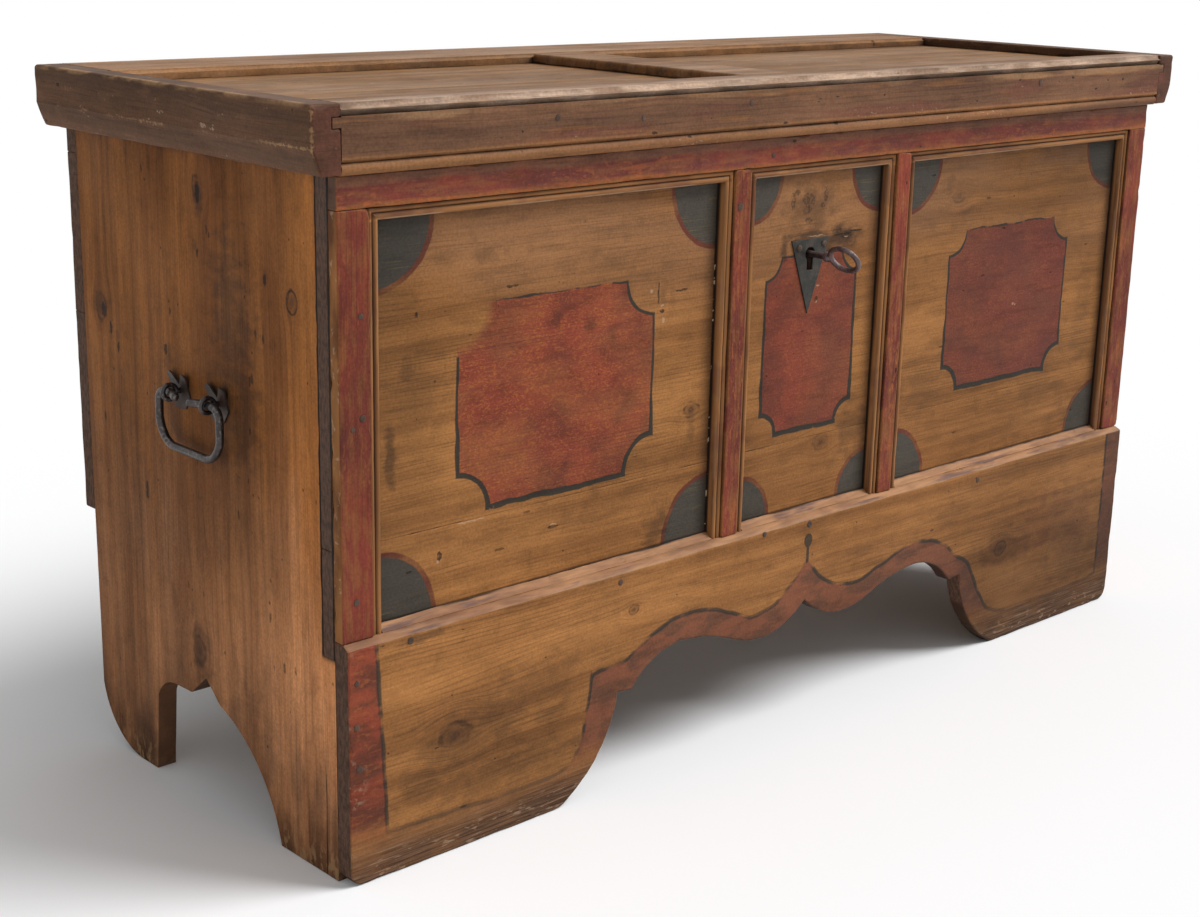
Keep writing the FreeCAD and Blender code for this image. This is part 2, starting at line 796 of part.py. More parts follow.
def lock_plate():
    """The plate inside the front, with clipped corners, that carries the lock's works."""
    half = size.lock_plate_width / 2
    clip = size.lock_plate_corner
    width = size.lock_plate_width
    height = place.plate_top - place.plate_bottom
    path = corners((clip, ZERO), (width - clip, ZERO), (width, clip), (width, height - clip),
                   (width - clip, height), (clip, height), (ZERO, height - clip), (ZERO, clip))
    blank = padded("lock_plate_blank", "XZ_Plane", path, size.lock_plate_thickness, -half, place.inner_front,
                   place.plate_bottom)
    hole = keyhole("lock_keyhole", place.inner_front - size.overrun, place.plate_back + size.overrun)
    node(cut("lock_plate", blank, [hole]))


def lock_bolt():
    """A sliding bar with a talon for the key's bit, an arm, and a finger for the hasp's eye."""
    depth = (place.bolt_near, place.bolt_far)
    half_finger = size.bolt_finger_height / 2
    left = -size.bolt_left_reach
    bar = box("bolt_bar", (left, size.bolt_right_reach), depth,
              (place.bar_bottom, place.bar_bottom + size.bolt_bar_height))
    arm = box("bolt_arm", (left, left + size.bolt_arm_width), depth,
              (place.bar_bottom, place.eye_z + half_finger))
    hasp_near = size.hasp_offset - size.hasp_thickness / 2
    finger = box("bolt_finger", (left, hasp_near - size.bolt_tip_gap), depth,
                 (place.eye_z - half_finger, place.eye_z + half_finger))
    talon_middle = -(size.bit_reach * math.sin(math.radians(size.key_rest_angle.value)))
    talon = box("bolt_talon", (talon_middle - size.talon_width / 2, talon_middle + size.talon_width / 2),
                (place.bolt_near - size.overrun, place.bolt_far + size.overrun),
                (place.bar_bottom - size.overrun, place.key_height + size.bit_reach + size.talon_clearance))
    node(cut("lock_bolt", fuse("bolt_blank", [bar, arm, finger]), [talon]))


def keeper(name, middle, low, high):
    """A guide block on the lock plate, with a window that the bolt slides in."""
    half = size.keeper_length / 2
    block = box(f"{name}_block", (middle - half, middle + half),
                (place.plate_back, place.bolt_far + size.keeper_fit + size.keeper_wall),
                (low - size.keeper_fit - size.keeper_wall, high + size.keeper_fit + size.keeper_wall))
    window = box(f"{name}_window", (middle - half - size.overrun, middle + half + size.overrun),
                 (place.bolt_near - size.keeper_fit, place.bolt_far + size.keeper_fit),
                 (low - size.keeper_fit, high + size.keeper_fit))
    return cut(name, block, [window])


def bolt_keepers():
    half_finger = size.bolt_finger_height / 2
    upper = keeper("upper_keeper", -size.upper_keeper_offset, place.eye_z - half_finger,
                   place.eye_z + half_finger)
    lower = keeper("lower_keeper", size.lower_keeper_offset, place.bar_bottom,
                   place.bar_bottom + size.bolt_bar_height)
    node(group("bolt_keepers", [upper, lower]))


def key_bridge():
    """A bent strap over the bolt whose hole carries the inner end of the key."""
    half = size.bridge_width / 2
    x = (-half, half)
    near, far = place.bridge_near, place.bridge_near + size.bridge_thickness
    low, high = place.key_height - size.bridge_drop, place.key_height + size.bridge_rise
    strap = box("bridge_strap", x, (near, far), (low, high))
    lower_leg = box("bridge_lower_leg", x, (place.plate_back, far), (low, low + size.bridge_thickness))
    upper_leg = box("bridge_upper_leg", x, (place.plate_back, far), (high - size.bridge_thickness, high))
    hole_radius = size.key_stem_radius + size.key_fit
    hole = cylinder("bridge_hole", hole_radius, size.bridge_thickness + size.overrun * 2, ZERO,
                    near - size.overrun, place.key_height, ALONG_Y)
    node(cut("key_bridge", fuse("bridge_blank", [strap, lower_leg, upper_leg]), [hole]))


def key():
    """The key, drawn with its bit upwards about its own axis and then turned to where it rests."""
    bow_near = place.bow_end + size.bow_length
    stem_end = place.bridge_near + size.bridge_thickness + size.key_pilot_length
    stem = cylinder("key_stem", size.key_stem_radius, stem_end - bow_near + size.bow_wire_radius, ZERO,
                    bow_near - size.bow_wire_radius, ZERO, ALONG_Y)
    collar = cylinder("key_collar", size.collar_radius, size.collar_length, ZERO, bow_near, ZERO, ALONG_Y)
    half_bit = size.bit_thickness / 2
    half_bit_width = size.bit_width / 2
    bit = box("key_bit", (-half_bit, half_bit), (place.eye_y - half_bit_width, place.eye_y + half_bit_width),
              (ZERO, size.bit_reach))
    ring = doc.addObject("Part::Ellipse", "bow_line")
    major = size.bow_length / 2 - size.bow_wire_radius
    ring.setExpression("MajorRadius", major.text)
    ring.setExpression("MinorRadius", (size.bow_width / 2 - size.bow_wire_radius).text)
    placed(ring, ZERO, place.bow_end + size.bow_length / 2, ZERO, UPRIGHT_ALONG_Y)
    section = doc.addObject("Part::Circle", "bow_section")
    section.setExpression("Radius", size.bow_wire_radius.text)
    placed(section, ZERO, place.bow_end + size.bow_wire_radius, ZERO)
    bow = doc.addObject("Part::Sweep", "key_bow")
    bow.Sections = [section]
    bow.Spine = (ring, ["Edge1"])
    bow.Solid = True
    rest = FreeCAD.Rotation(Y_AXIS, -size.key_rest_angle.value)
    node(placed(fuse("key", [stem, collar, bit, bow]), ZERO, ZERO, place.key_height, rest))


def lid_hasp():
    """A plate under the lid with a tab that hangs down to the bolt's finger."""
    tab_y = (place.inner_front + size.hasp_setback, place.inner_front + size.hasp_setback + size.hasp_width)
    half_tab = size.hasp_thickness / 2
    half_plate = size.hasp_plate_width / 2
    middle = size.hasp_offset
    plate = box("hasp_plate", (middle - half_plate, middle + half_plate),
                (tab_y[0], tab_y[0] + size.hasp_plate_length),
                (size.carcase_height - size.hasp_plate_thickness, size.carcase_height))
    tab = box("hasp_tab", (middle - half_tab, middle + half_tab), tab_y,
              (size.carcase_height - size.hasp_drop, size.carcase_height))
    eye = cylinder("hasp_eye", size.hasp_eye_radius, size.hasp_thickness + size.overrun * 2,
                   middle - half_tab - size.overrun, place.eye_y, place.eye_z, ALONG_X)
    node(cut("lid_hasp", fuse("hasp_blank", [plate, tab]), [eye]))


def handle_eyes():
    """The two eyes of a handle, each with its place on the Y axis."""
    middle = place.apron_front + size.handle_setback
    half = size.handle_eye_spacing / 2
    return (("front", middle - half), ("rear", middle + half))


def shank_hole(name, side, y):
    """A hole for a cotter's shank, from outside the rose plate into the side board."""
    low, high = span(side, place.half_width - size.shank_embedment, place.half_width + size.overrun)
    return cylinder(name, size.shank_radius + size.shank_fit, high - low, low, y, size.handle_height, ALONG_X)


def handle(word, side):
    """Rose plates and cotter eyes on a side board, and the bail that hangs in the eyes."""
    roses = []
    eyes = []
    eye_x = place.half_width + size.eye_standoff
    for place_word, y in handle_eyes():
        path = [(size.rose_width * across, size.rose_height * up, bulge(radius, size.rose_width))
                for across, up, radius in ROSE_SHARES]
        low, high = span(side, place.half_width, place.half_width + size.rose_thickness)
        rose = padded(f"rose_blank_{word}_{place_word}", "YZ_Plane", path, size.rose_thickness, low,
                      y - size.rose_width / 2, size.handle_height - size.rose_height / 2)
        hole = shank_hole(f"rose_hole_{word}_{place_word}", side, y)
        roses.append(cut(f"rose_{word}_{place_word}", rose, [hole]))
        ring = doc.addObject("Part::Torus", f"eye_ring_{word}_{place_word}")
        ring.setExpression("Radius1", size.eye_ring_radius.text)
        ring.setExpression("Radius2", size.eye_wire_radius.text)
        placed(ring, span(side, eye_x, eye_x)[0], y, size.handle_height, ALONG_Y)
        low, high = span(side, place.half_width - size.shank_embedment, eye_x - size.eye_ring_radius)
        shank = cylinder(f"eye_shank_{word}_{place_word}", size.shank_radius, high - low, low, y,
                         size.handle_height, ALONG_X)
        eyes.append(fuse(f"eye_{word}_{place_word}", [ring, shank]))
    node(group(f"handle_roses_{word}", roses))
    node(group(f"handle_eyes_{word}", eyes))
    handle_bail(f"handle_bail_{word}", side, span(side, eye_x, eye_x)[0])


def bail_stub(name, side, x, y, inwards):
    """The last stretch of a bail's end past the eye, bent away from the side board."""
    turn = math.radians(size.bail_stub_angle.value)
    lean = FreeCAD.Vector(side * math.sin(turn), inwards * math.cos(turn), 0)
    reach = size.bail_stub_length
    rod = cylinder(f"{name}_rod", size.bail_rod_radius, reach, x, y, size.handle_height,
                   FreeCAD.Rotation(Z_AXIS, lean))
    elbow = ball(f"{name}_elbow", size.bail_rod_radius, x, y, size.handle_height)
    tip = ball(f"{name}_tip", size.bail_rod_radius, x + reach * lean.x, y + reach * lean.y,
               size.handle_height)
    return [rod, elbow, tip]


def handle_bail(name, side, x):
    """A round rod bent to a bail, whose ends turn inwards through the eyes."""
    width, drop = size.bail_width, size.bail_drop
    upper, lower = size.bail_upper_bend, size.bail_lower_bend
    end = width / 2 - size.handle_eye_spacing / 2 + size.bail_elbow_overrun
    path = [
        (width - end, drop, None),
        (width - upper, drop, None),
        (width, drop - upper, bulging_left(upper)),
        (width, lower, None),
        (width - lower, ZERO, bulging_left(lower)),
        (lower, ZERO, None),
        (ZERO, lower, bulging_left(lower)),
        (ZERO, drop - upper, None),
        (upper, drop, bulging_left(upper)),
        (end, drop, None),
    ]
    body = doc.addObject("PartDesign::Body", f"{name}_hoop")
    spine = new_sketch(body, "YZ_Plane", f"{name}_line")
    draw(spine, path, closed=False)
    section = new_sketch(body, "XZ_Plane", f"{name}_section")
    section.setExpression("AttachmentOffset.Base.z", (end - width).text)
    circle = section.addGeometry(Part.Circle(FreeCAD.Vector(0, drop.value, 0), FreeCAD.Vector(0, 0, 1),
                                             size.bail_rod_radius.value), False)
    pin_point(section, circle, 3, ZERO, drop)
    number = section.addConstraint(Sketcher.Constraint("Radius", circle, size.bail_rod_radius.value))
    section.setExpression(f"Constraints[{number}]", size.bail_rod_radius.text)
    doc.recompute()
    pipe = body.newObject("PartDesign::AdditivePipe", f"{name}_rod")
    pipe.Profile = section
    pipe.Spine = (spine, [f"Edge{number}" for number in range(1, len(path))])
    placed(body, x, place.apron_front + size.handle_setback - width / 2, size.handle_height - drop)
    parts = [body]
    for (place_word, y), inwards in zip(handle_eyes(), (1, -1)):
        parts += bail_stub(f"{name}_{place_word}", side, x, y + size.bail_elbow_overrun * inwards, inwards)
    node(fuse(name, parts))


def build():
    apron_board()
    side_board("side_board_left", LEFT)
    side_board("side_board_right", RIGHT)
    front_boards()
    back_boards()
    floor_boards()
    for panel, low, high in frame_members():
        panel_mouldings(panel, low, high)
    lid_boards()
    lid_cleat("lid_cleat_left", LEFT)
    lid_cleat("lid_cleat_right", RIGHT)
    lid_fascia()
    lid_rim()
    pins = [hinge("left", -size.hinge_offset), hinge("right", size.hinge_offset)]
    node(group("hinge_pins", pins))
    escutcheon()
    lock_plate()
    lock_bolt()
    bolt_keepers()
    key_bridge()
    key()
    lid_hasp()
    handle("left", LEFT)
    handle("right", RIGHT)


def check_and_export():
    """Stop on any failed object, then write one file for each sub-part."""
    doc.recompute()
    for item in doc.Objects:
        if "Invalid" in item.State or "Error" in item.State:
            raise RuntimeError(f"{item.Label} failed: {item.State}")
    for item in nodes:
        if item.Shape.isNull() or not item.Shape.isValid():
            raise RuntimeError(f"{item.Label} has no valid shape")
    os.makedirs("parts", exist_ok=True)
    for item in nodes:
        item.Shape.exportStep(f"parts/{item.Label}.step")
    print(len(nodes), "sub-parts written")


build()
check_and_export()
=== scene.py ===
"""Looks of a painted chest with a hinged lid, a lock with its key and two side handles.

Everything is in metres, in the frame of the solids: X to the right along the front, Y to the back, Z up.
"""

import json
import math
from functools import reduce

import bmesh
import bpy
from mathutils import Matrix, Vector, kdtree, noise

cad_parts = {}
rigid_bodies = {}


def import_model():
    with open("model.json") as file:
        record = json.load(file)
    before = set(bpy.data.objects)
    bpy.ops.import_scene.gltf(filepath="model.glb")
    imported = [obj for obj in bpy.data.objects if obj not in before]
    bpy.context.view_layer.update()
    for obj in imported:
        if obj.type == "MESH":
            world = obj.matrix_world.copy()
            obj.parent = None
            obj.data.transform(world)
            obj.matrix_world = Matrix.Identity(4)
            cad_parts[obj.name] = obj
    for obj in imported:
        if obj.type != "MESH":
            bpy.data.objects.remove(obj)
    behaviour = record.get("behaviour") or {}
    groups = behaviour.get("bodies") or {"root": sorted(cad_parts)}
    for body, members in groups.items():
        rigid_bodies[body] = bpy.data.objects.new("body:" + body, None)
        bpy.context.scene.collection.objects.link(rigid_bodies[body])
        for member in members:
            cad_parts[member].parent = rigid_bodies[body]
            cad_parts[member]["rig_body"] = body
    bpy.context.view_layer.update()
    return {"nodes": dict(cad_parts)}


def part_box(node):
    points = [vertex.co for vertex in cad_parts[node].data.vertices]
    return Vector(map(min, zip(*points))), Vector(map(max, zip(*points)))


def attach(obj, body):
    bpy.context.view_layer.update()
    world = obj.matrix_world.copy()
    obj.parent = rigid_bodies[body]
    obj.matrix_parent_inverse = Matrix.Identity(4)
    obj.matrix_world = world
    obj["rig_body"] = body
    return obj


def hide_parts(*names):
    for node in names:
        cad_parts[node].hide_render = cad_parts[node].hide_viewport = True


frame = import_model()
NODES = frame["nodes"]

# Camera of the photograph: its place, its axes and its focal length
CAMERA_EYE = (-1.74954, -1.72238, 0.97989)
CAMERA_RIGHT = (0.73269, -0.68021, 0.02181)
CAMERA_DOWN = (-0.16984, -0.21378, -0.96200)
CAMERA_FORWARD = (0.65903, 0.70115, -0.27216)
SENSOR_WIDTH_MM = 36.0
LENS_MM = 57.563

# Studio
KEY_FROM = (2.4, -1.8, 3.1)
KEY_SPREAD = math.radians(30)
KEY_STRENGTH = 3.05
SKY_LEVEL = 0.41
SKY_BEHIND = 0.06
SKY_DIM_START = 0.5
SKY_DIM_END = 0.9
FLOOR_HALF = 9.0
FLOOR_DROP = 0.0005
FLOOR_COLOUR = (0.925, 0.93, 0.94, 1.0)
FADE_START = 0.40
FADE_END = 1.7
FADE_WIDEN = 0.8


def srgb(red, green, blue):
    """The colour that a picture shows as these three bytes."""

    def linear(byte):
        share = byte / 255
        return share / 12.92 if share <= 0.04045 else ((share + 0.055) / 1.055) ** 2.4

    return (linear(red), linear(green), linear(blue), 1.0)


# Colours
OCHRE = srgb(143, 95, 52)
OCHRE_PALE = srgb(160, 109, 61)
OCHRE_DARK = srgb(112, 72, 38)
OCHRE_GREY = srgb(124, 90, 66)
RED = srgb(131, 58, 43)
RED_DARK = srgb(93, 46, 38)
RED_PURPLE = srgb(95, 52, 46)
ORANGE = srgb(150, 85, 46)
BORDER_RED = srgb(124, 74, 55)
BORDER_DARK = srgb(92, 60, 48)
LINE_DARK = srgb(46, 45, 40)
DISC_DARK = srgb(70, 66, 59)
DISC_OLIVE = srgb(98, 88, 60)
SIDE_TAN = srgb(164, 113, 75)
SIDE_BROWN = srgb(116, 75, 46)
SIDE_AMBER = srgb(142, 90, 44)
SIDE_RED = srgb(94, 54, 26)
END_GRAIN = srgb(98, 72, 57)
END_GRAIN_DARK = srgb(48, 37, 31)
BARE_PALE = srgb(168, 134, 97)
BARE_BROWN = srgb(120, 90, 64)
BACK_PALE = srgb(140, 112, 84)
BACK_BROWN = srgb(92, 70, 52)
LID_PALE = srgb(148, 106, 61)
LID_BROWN = srgb(117, 83, 51)
LID_DARK = srgb(82, 58, 42)
RIM_PALE = srgb(156, 118, 84)
NOSE_PALE = srgb(188, 160, 138)
RAIL_BARE = srgb(118, 90, 70)
RIM_DARK = srgb(98, 70, 50)
CLEAT_BROWN = srgb(106, 73, 50)
CLEAT_DARK = srgb(66, 46, 33)
FASCIA_BROWN = srgb(118, 83, 60)
FASCIA_DARK = srgb(82, 57, 43)
FASCIA_RED = srgb(108, 62, 51)
MOULDING_BROWN = srgb(156, 108, 66)
MOULDING_DARK = srgb(104, 70, 46)
LEDGE_PALE = srgb(172, 128, 92)
LEDGE_BROWN = srgb(126, 90, 70)
LEDGE_STAIN = srgb(94, 74, 76)
KNOT_BROWN = srgb(70, 46, 32)
FOOT_BROWN = srgb(94, 71, 56)
FOOT_PALE = srgb(150, 124, 102)
RAW_EDGE = srgb(168, 132, 94)
# Dark brown of real dirt, also laid as painted shade in corners, under overhangs and beside the panels'
# right mouldings.
DIRT_AND_SHADE = srgb(44, 34, 28)
# Near black of dents, cuts, cracks and joints, also laid as painted shade where the mouldings meet the
# panels.
NEAR_BLACK = srgb(24, 20, 18)
PALE_CHIP = srgb(178, 154, 128)
IRON = srgb(62, 57, 55)
IRON_BRIGHT = srgb(128, 122, 120)
RUST = srgb(92, 62, 48)
IRON_RUSTY = srgb(70, 58, 52)
IRON_PLATE = srgb(56, 55, 50)
IRON_HANDLED = srgb(72, 66, 65)
IRON_KEY = srgb(112, 94, 93)
IRON_NAIL = srgb(88, 70, 60)


def sum_of(operation, swapped=False):
    """A method of Field that does one sum on it and another value."""

    def method(self, other=0.0):
        first, second = (other, self) if swapped else (self, other)
        return self.nodes.math(operation, first, second)

    return method


class Field:
    """A number or colour that varies over a surface: one output of a tree of nodes."""

    def __init__(self, nodes, socket):
        self.nodes = nodes
        self.socket = socket

    __add__ = sum_of("ADD")
    __radd__ = sum_of("ADD", swapped=True)
    __sub__ = sum_of("SUBTRACT")
    __rsub__ = sum_of("SUBTRACT", swapped=True)
    __mul__ = sum_of("MULTIPLY")
    __rmul__ = sum_of("MULTIPLY", swapped=True)
    __truediv__ = sum_of("DIVIDE")
    __abs__ = sum_of("ABSOLUTE")
    lowest = sum_of("MINIMUM")
    highest = sum_of("MAXIMUM")
    power = sum_of("POWER")
    sine = sum_of("SINE")

    def step(self, start, end, shape="SMOOTHSTEP"):
        """0 before start and 1 after end, smooth between them; start may be the larger."""
        inputs = {"Value": self, "From Min": start, "From Max": end}
        return self.nodes.node("MapRange", inputs, "Result", interpolation_type=shape)

    def beside(self, output):
        """Another output of the same node."""
        return Field(self.nodes, self.socket.node.outputs[output])


class Nodes:
    """The tree of nodes of a material or of the sky."""

    def __init__(self, tree):
        self.tree = tree

    def node(self, kind, inputs, output=0, **settings):
        """One output of a new node, made with its settings and with what feeds its inputs."""
        node = self.tree.nodes.new(f"ShaderNode{kind}")
        for name, value in settings.items():
            setattr(node, name, value)
        for name, value in inputs.items():
            self.feed(node.inputs[name], value)
        return Field(self, node.outputs[output])

    def feed(self, socket, value):
        if isinstance(value, Field):
            self.tree.links.new(value.socket, socket)
        else:
            socket.default_value = value

    def math(self, operation, first, second):
        return self.node("Math", {0: first, 1: second}, operation=operation)

    def split(self, vector):
        parts = self.node("SeparateXYZ", {0: vector})
        return [parts.beside(axis) for axis in "XYZ"]

    def join(self, first, second, third):
        return self.node("CombineXYZ", {"X": first, "Y": second, "Z": third})

    def length(self, first, second):
        return (first * first + second * second).power(0.5)


# Places of the sockets for colours on the node that mixes
MIX_SHARE, MIX_FIRST, MIX_SECOND, MIX_RESULT = 0, 6, 7, 2
SEED_STEPS = (3.7, 5.3, 7.9)
CREVICE_SAMPLES = 4


class Paint(Nodes):
    """A material in the making. Its point is that of the solids at rest, in metres."""

    def __init__(self, name):
        self.material = bpy.data.materials.new(name)
        self.material.use_nodes = True
        super().__init__(self.material.node_tree)
        self.tree.nodes.clear()
        self.colour = None
        self.point = self.node("TexCoord", {}, "Object")
        self.x, self.y, self.z = self.split(self.point)
        self.to_right, self.to_back, self.to_top = self.split(self.point.beside("Normal"))

    def sized(self, size, seed, point):
        """The point measured in features of that size, one length or one for each axis."""
        sizes = size if isinstance(size, tuple) else (size, size, size)
        scales = [1 / length for length in sizes]
        shift = [seed * step for step in SEED_STEPS]
        inputs = {0: point or self.point, 1: scales, 2: shift}
        return self.node("VectorMath", inputs, operation="MULTIPLY_ADD")

    def noise(self, size, seed=0.0, detail=3.0, point=None, twist=0.0):
        """Soft random values about a half, whose features measure size."""
        inputs = {"Vector": self.sized(size, seed, point), "Scale": 1.0}
        return self.node("TexNoise", inputs | {"Detail": detail, "Distortion": twist})

    def cells(self, size, seed=0.0, point=None):
        """Distance to the nearest of scattered points, and a random number for that point."""
        near = self.node("TexVoronoi", {"Vector": self.sized(size, seed, point), "Scale": 1.0}, "Distance")
        return near, self.split(near.beside("Color"))[0]

    def mix(self, share, first, second):
        inputs = {MIX_SHARE: share, MIX_FIRST: first, MIX_SECOND: second}
        return self.node("Mix", inputs, MIX_RESULT, data_type="RGBA")

    def shade(self, colour, level):
        """The colour made lighter or darker by a varying level."""
        vector = colour if isinstance(colour, Field) else colour[:3]
        return self.node("VectorMath", {0: vector, "Scale": level}, operation="SCALE")

    def curve(self, points, value):
        """A height read from a smooth line through a few points, all from 0 to 1."""
        height = self.node("FloatCurve", {"Value": value})
        mapping = height.socket.node.mapping
        line = mapping.curves[0]
        line.points[0].location = points[0]
        line.points[1].location = points[-1]
        for place in points[1:-1]:
            line.points.new(*place)
        mapping.update()
        return height

    def crevice(self, reach):
        """Nearly 1 in corners and under overhangs, 0 in the open."""
        return 1 - self.node("AmbientOcclusion", {"Distance": reach}, "AO", samples=CREVICE_SAMPLES)

    def lay(self, share, colour):
        """Covers what is there with a varying share of a colour."""
        self.colour = self.mix(share, self.colour, colour)

    def tone(self, level):
        """Makes what is there lighter or darker."""
        self.colour = self.shade(self.colour, level)

    def surface(self, shader):
        """The material, finished with a shader."""
        end = self.tree.nodes.new("ShaderNodeOutputMaterial")
        self.feed(end.inputs["Surface"], shader)
        return self.material

    def finish(self, roughness, relief, metallic=0.0, gloss=0.11):
        """The material, finished with the colour that is there; relief is a height in metres."""
        inputs = {"Base Color": self.colour, "Roughness": roughness, "Metallic": metallic}
        inputs["Specular IOR Level"] = gloss
        inputs["Normal"] = self.node("Bump", {"Height": relief, "Distance": 1.0})
        return self.surface(self.node("BsdfPrincipled", inputs))


class Grain:
    """Figure of a softwood board: u runs along the grain, v across it on the face, w into it."""

    def __init__(self, p, u, v, w, seed, pitch=0.0045, knots=()):
        self.p = p
        self.u, self.v, self.seed = u, v, seed
        drift = p.noise((0.55, 0.10, 0.3), seed, 2.0, p.join(u, v, w))
        across = v + (drift - 0.5) * 0.035
        ragged = (p.noise(0.012, seed + 14, 2.0) - 0.5) * 0.8
        nears = []
        for knot_u, knot_v, radius in knots:
            near = p.length((u - knot_u) * 0.7, v - knot_v) / radius
            across = across - (v - knot_v) * near.step(3.4, 0.2) * 0.8
            nears.append(near)
        self.near = reduce(Field.lowest, nears) + ragged if nears else None
        self.point = p.join(u, across, w)
        wander = p.noise((0.5, 0.045, 0.2), seed + 1, 2.0, self.point)
        phase = across * (2 * math.pi / pitch) + wander * 18.0
        zone = p.noise((0.35, 0.07, 0.2), seed + 6, 3.0, self.point).step(0.42, 0.66)
        self.lines = phase.sine().step(0.35, 1.0) * (0.15 + zone * 0.85)
        self.hair = p.noise((0.14, 0.0024, 0.03), seed + 10, 2.0, self.point).step(0.54, 0.70)
        self.streak = p.noise((0.9, 0.022, 0.3), seed + 2, 4.0, self.point).step(0.34, 0.66)
        self.fibre = p.noise((0.035, 0.0026, 0.03), seed + 3, 3.0, self.point).step(0.32, 0.68)
        self.fine = p.noise((0.06, 0.0012, 0.02), seed + 15, 2.0, self.point).step(0.50, 0.66)
        self.blotch = p.noise((0.22, 0.11, 0.2), seed + 4, 4.0, self.point).step(0.32, 0.68)
        self.cloud = p.noise((0.05, 0.030, 0.05), seed + 5, 4.0, self.point).step(0.36, 0.64)

    def colour(self, pale, dark, lines=0.24):
        """Wood colour: streaks from pale to dark, thin growth lines, fibre, blotches and knots."""
        p = self.p
        mixed = p.mix(self.streak * 0.55 + self.blotch * 0.3, pale, dark)
        level = 1.18 - self.lines * lines - self.hair * 0.15 - self.fine * 0.14
        mixed = p.shade(mixed, level - self.fibre * 0.10 - self.cloud * 0.08)
        if self.near is not None:
            rings = (self.near * 9.0).sine().step(-0.2, 0.9)
            mixed = p.mix(self.near.step(2.4, 0.8) * (0.22 + rings * 0.12), mixed, dark)
            mixed = p.mix(self.near.step(1.0, 0.4) * (0.42 + rings * 0.25), mixed, KNOT_BROWN)
            rim = abs(self.near - 0.95).step(0.25, 0.05)
            mixed = p.mix(rim * self.fibre * 0.6, mixed, NEAR_BLACK)
        return mixed

    def dashes(self, long=0.040, high=0.011, share=0.35, seed=0.0):
        """Sparse short dents along the grain, with ragged rims."""
        p = self.p
        distance, chance = p.cells((long, high, high), self.seed + seed, p.join(self.u, self.v, 0.0))
        ragged = (p.noise(0.006, self.seed + seed + 16, 3.0) - 0.5) * 0.22
        size = 0.05 + chance.step(1 - share, 1.0) * 0.07
        return (distance + ragged - size).step(0.04, -0.02) * chance.step(1 - share - 0.02, 1 - share + 0.02)

    def relief(self):
        """Height of the surface: raised growth lines and fibre."""
        return self.lines * 0.00010 + self.hair * 0.00008 + self.fibre * 0.00012 + self.cloud * 0.0002

    def age(self, dirt=0.8, grime_and_shade=0.022):
        """Years of smoke and handling: soft dark clouds, smears, grit, and dirt with painted shade in the
        corners.
        """
        p = self.p
        broad = p.noise((0.40, 0.25, 0.25), self.seed + 7, 3.0).step(0.34, 0.66)
        smear = p.noise((0.07, 0.012, 0.02), self.seed + 8, 6.0, self.point).step(0.50, 0.70)
        blot = p.noise(0.020, self.seed + 13, 6.0).step(0.52, 0.70)
        grit = p.noise(0.0030, self.seed + 9, 3.0).step(0.28, 0.72)
        p.tone(0.755 + broad * 0.20 + grit * 0.25)
        p.lay(smear * 0.45, p.shade(p.colour, 0.58))
        p.lay(blot * 0.32, p.shade(p.colour, 0.58))
        pores = self.dashes(0.016, 0.0045, 0.20, 11.0) * (0.25 + 0.75 * self.blotch)
        p.lay(pores * 0.55, DIRT_AND_SHADE)
        # Dirt and painted shade: darker where the surface is hidden from the sky, in corners and under
        # overhangs.
        corner = p.crevice(grime_and_shade) * (0.55 + 0.6 * self.cloud)
        p.lay(corner.step(0.12, 0.75) * dirt, DIRT_AND_SHADE)


def spots(p, u, v, places, seed):
    """Soft stains with uneven rims, each at (u, v) with its two radii and its strength."""
    uneven = (p.noise((0.022, 0.022, 0.012), seed, 6.0) - 0.5) * 2.4
    stains = []
    for centre_u, centre_v, radius_u, radius_v, strength in places:
        away = p.length((u - centre_u) / radius_u, (v - centre_v) / radius_v) + uneven
        stains.append(away.step(1.1, 0.25) * strength)
    return reduce(Field.highest, stains)


def marks(p, u, v, places, seed):
    """Small crisp marks with ragged rims, each at (u, v) with its two half sizes."""
    ragged = (p.noise(0.005, seed, 3.0) - 0.5) * 1.3
    u = u + (p.noise(0.007, seed + 0.3, 3.0) - 0.5) * 0.0040
    v = v + (p.noise(0.007, seed + 0.6, 3.0) - 0.5) * 0.0040
    crisp = []
    for centre_u, centre_v, half_u, half_v in places:
        away = p.length((u - centre_u) / half_u, (v - centre_v) / half_v) + ragged
        crisp.append(away.step(1.15, 0.85))
    return reduce(Field.highest, crisp)


def end_grain(p, facing, seed):
    """Covers the faces that look along the grain with dark, rough end grain."""
    rough = p.noise((0.003, 0.003, 0.008), seed, 4.0).step(0.35, 0.65)
    end = p.mix(rough * 0.65, END_GRAIN, END_GRAIN_DARK)
    p.lay(abs(facing).step(0.6, 0.8), end)


# Painted front: the three panels between the frame's members
FRONT_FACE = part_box("front_board_upper")[0].y
APRON_LOW, APRON_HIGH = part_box("apron_board")
LEDGE = APRON_HIGH.z
MOULDING_WIDTH = 0.0135
MOULDING_RISE = 0.011
FILLET_RISE = 0.007
RAIL_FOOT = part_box("frame_top_rail")[0].z
PANEL_TOP = RAIL_FOOT - MOULDING_WIDTH
PANEL_FOOT = LEDGE + FILLET_RISE
QUIRK_SHARE = 0.46


class Panel:
    """One painted panel: its opening, its red cartouche and its corner discs."""

    def __init__(self, name, cartouche, corner, disc, wear):
        self.name = name
        self.outer_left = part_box(f"moulding_{name}_left")[0].x
        self.outer_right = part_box(f"moulding_{name}_right")[1].x
        self.left = self.outer_left + MOULDING_WIDTH
        self.right = self.outer_right - MOULDING_WIDTH
        left, right, bottom, top = cartouche
        self.centre_x, self.half_x = (left + right) / 2, (right - left) / 2
        self.centre_z, self.half_z = (bottom + top) / 2, (top - bottom) / 2
        self.corner = corner
        self.disc = disc
        self.wear = wear


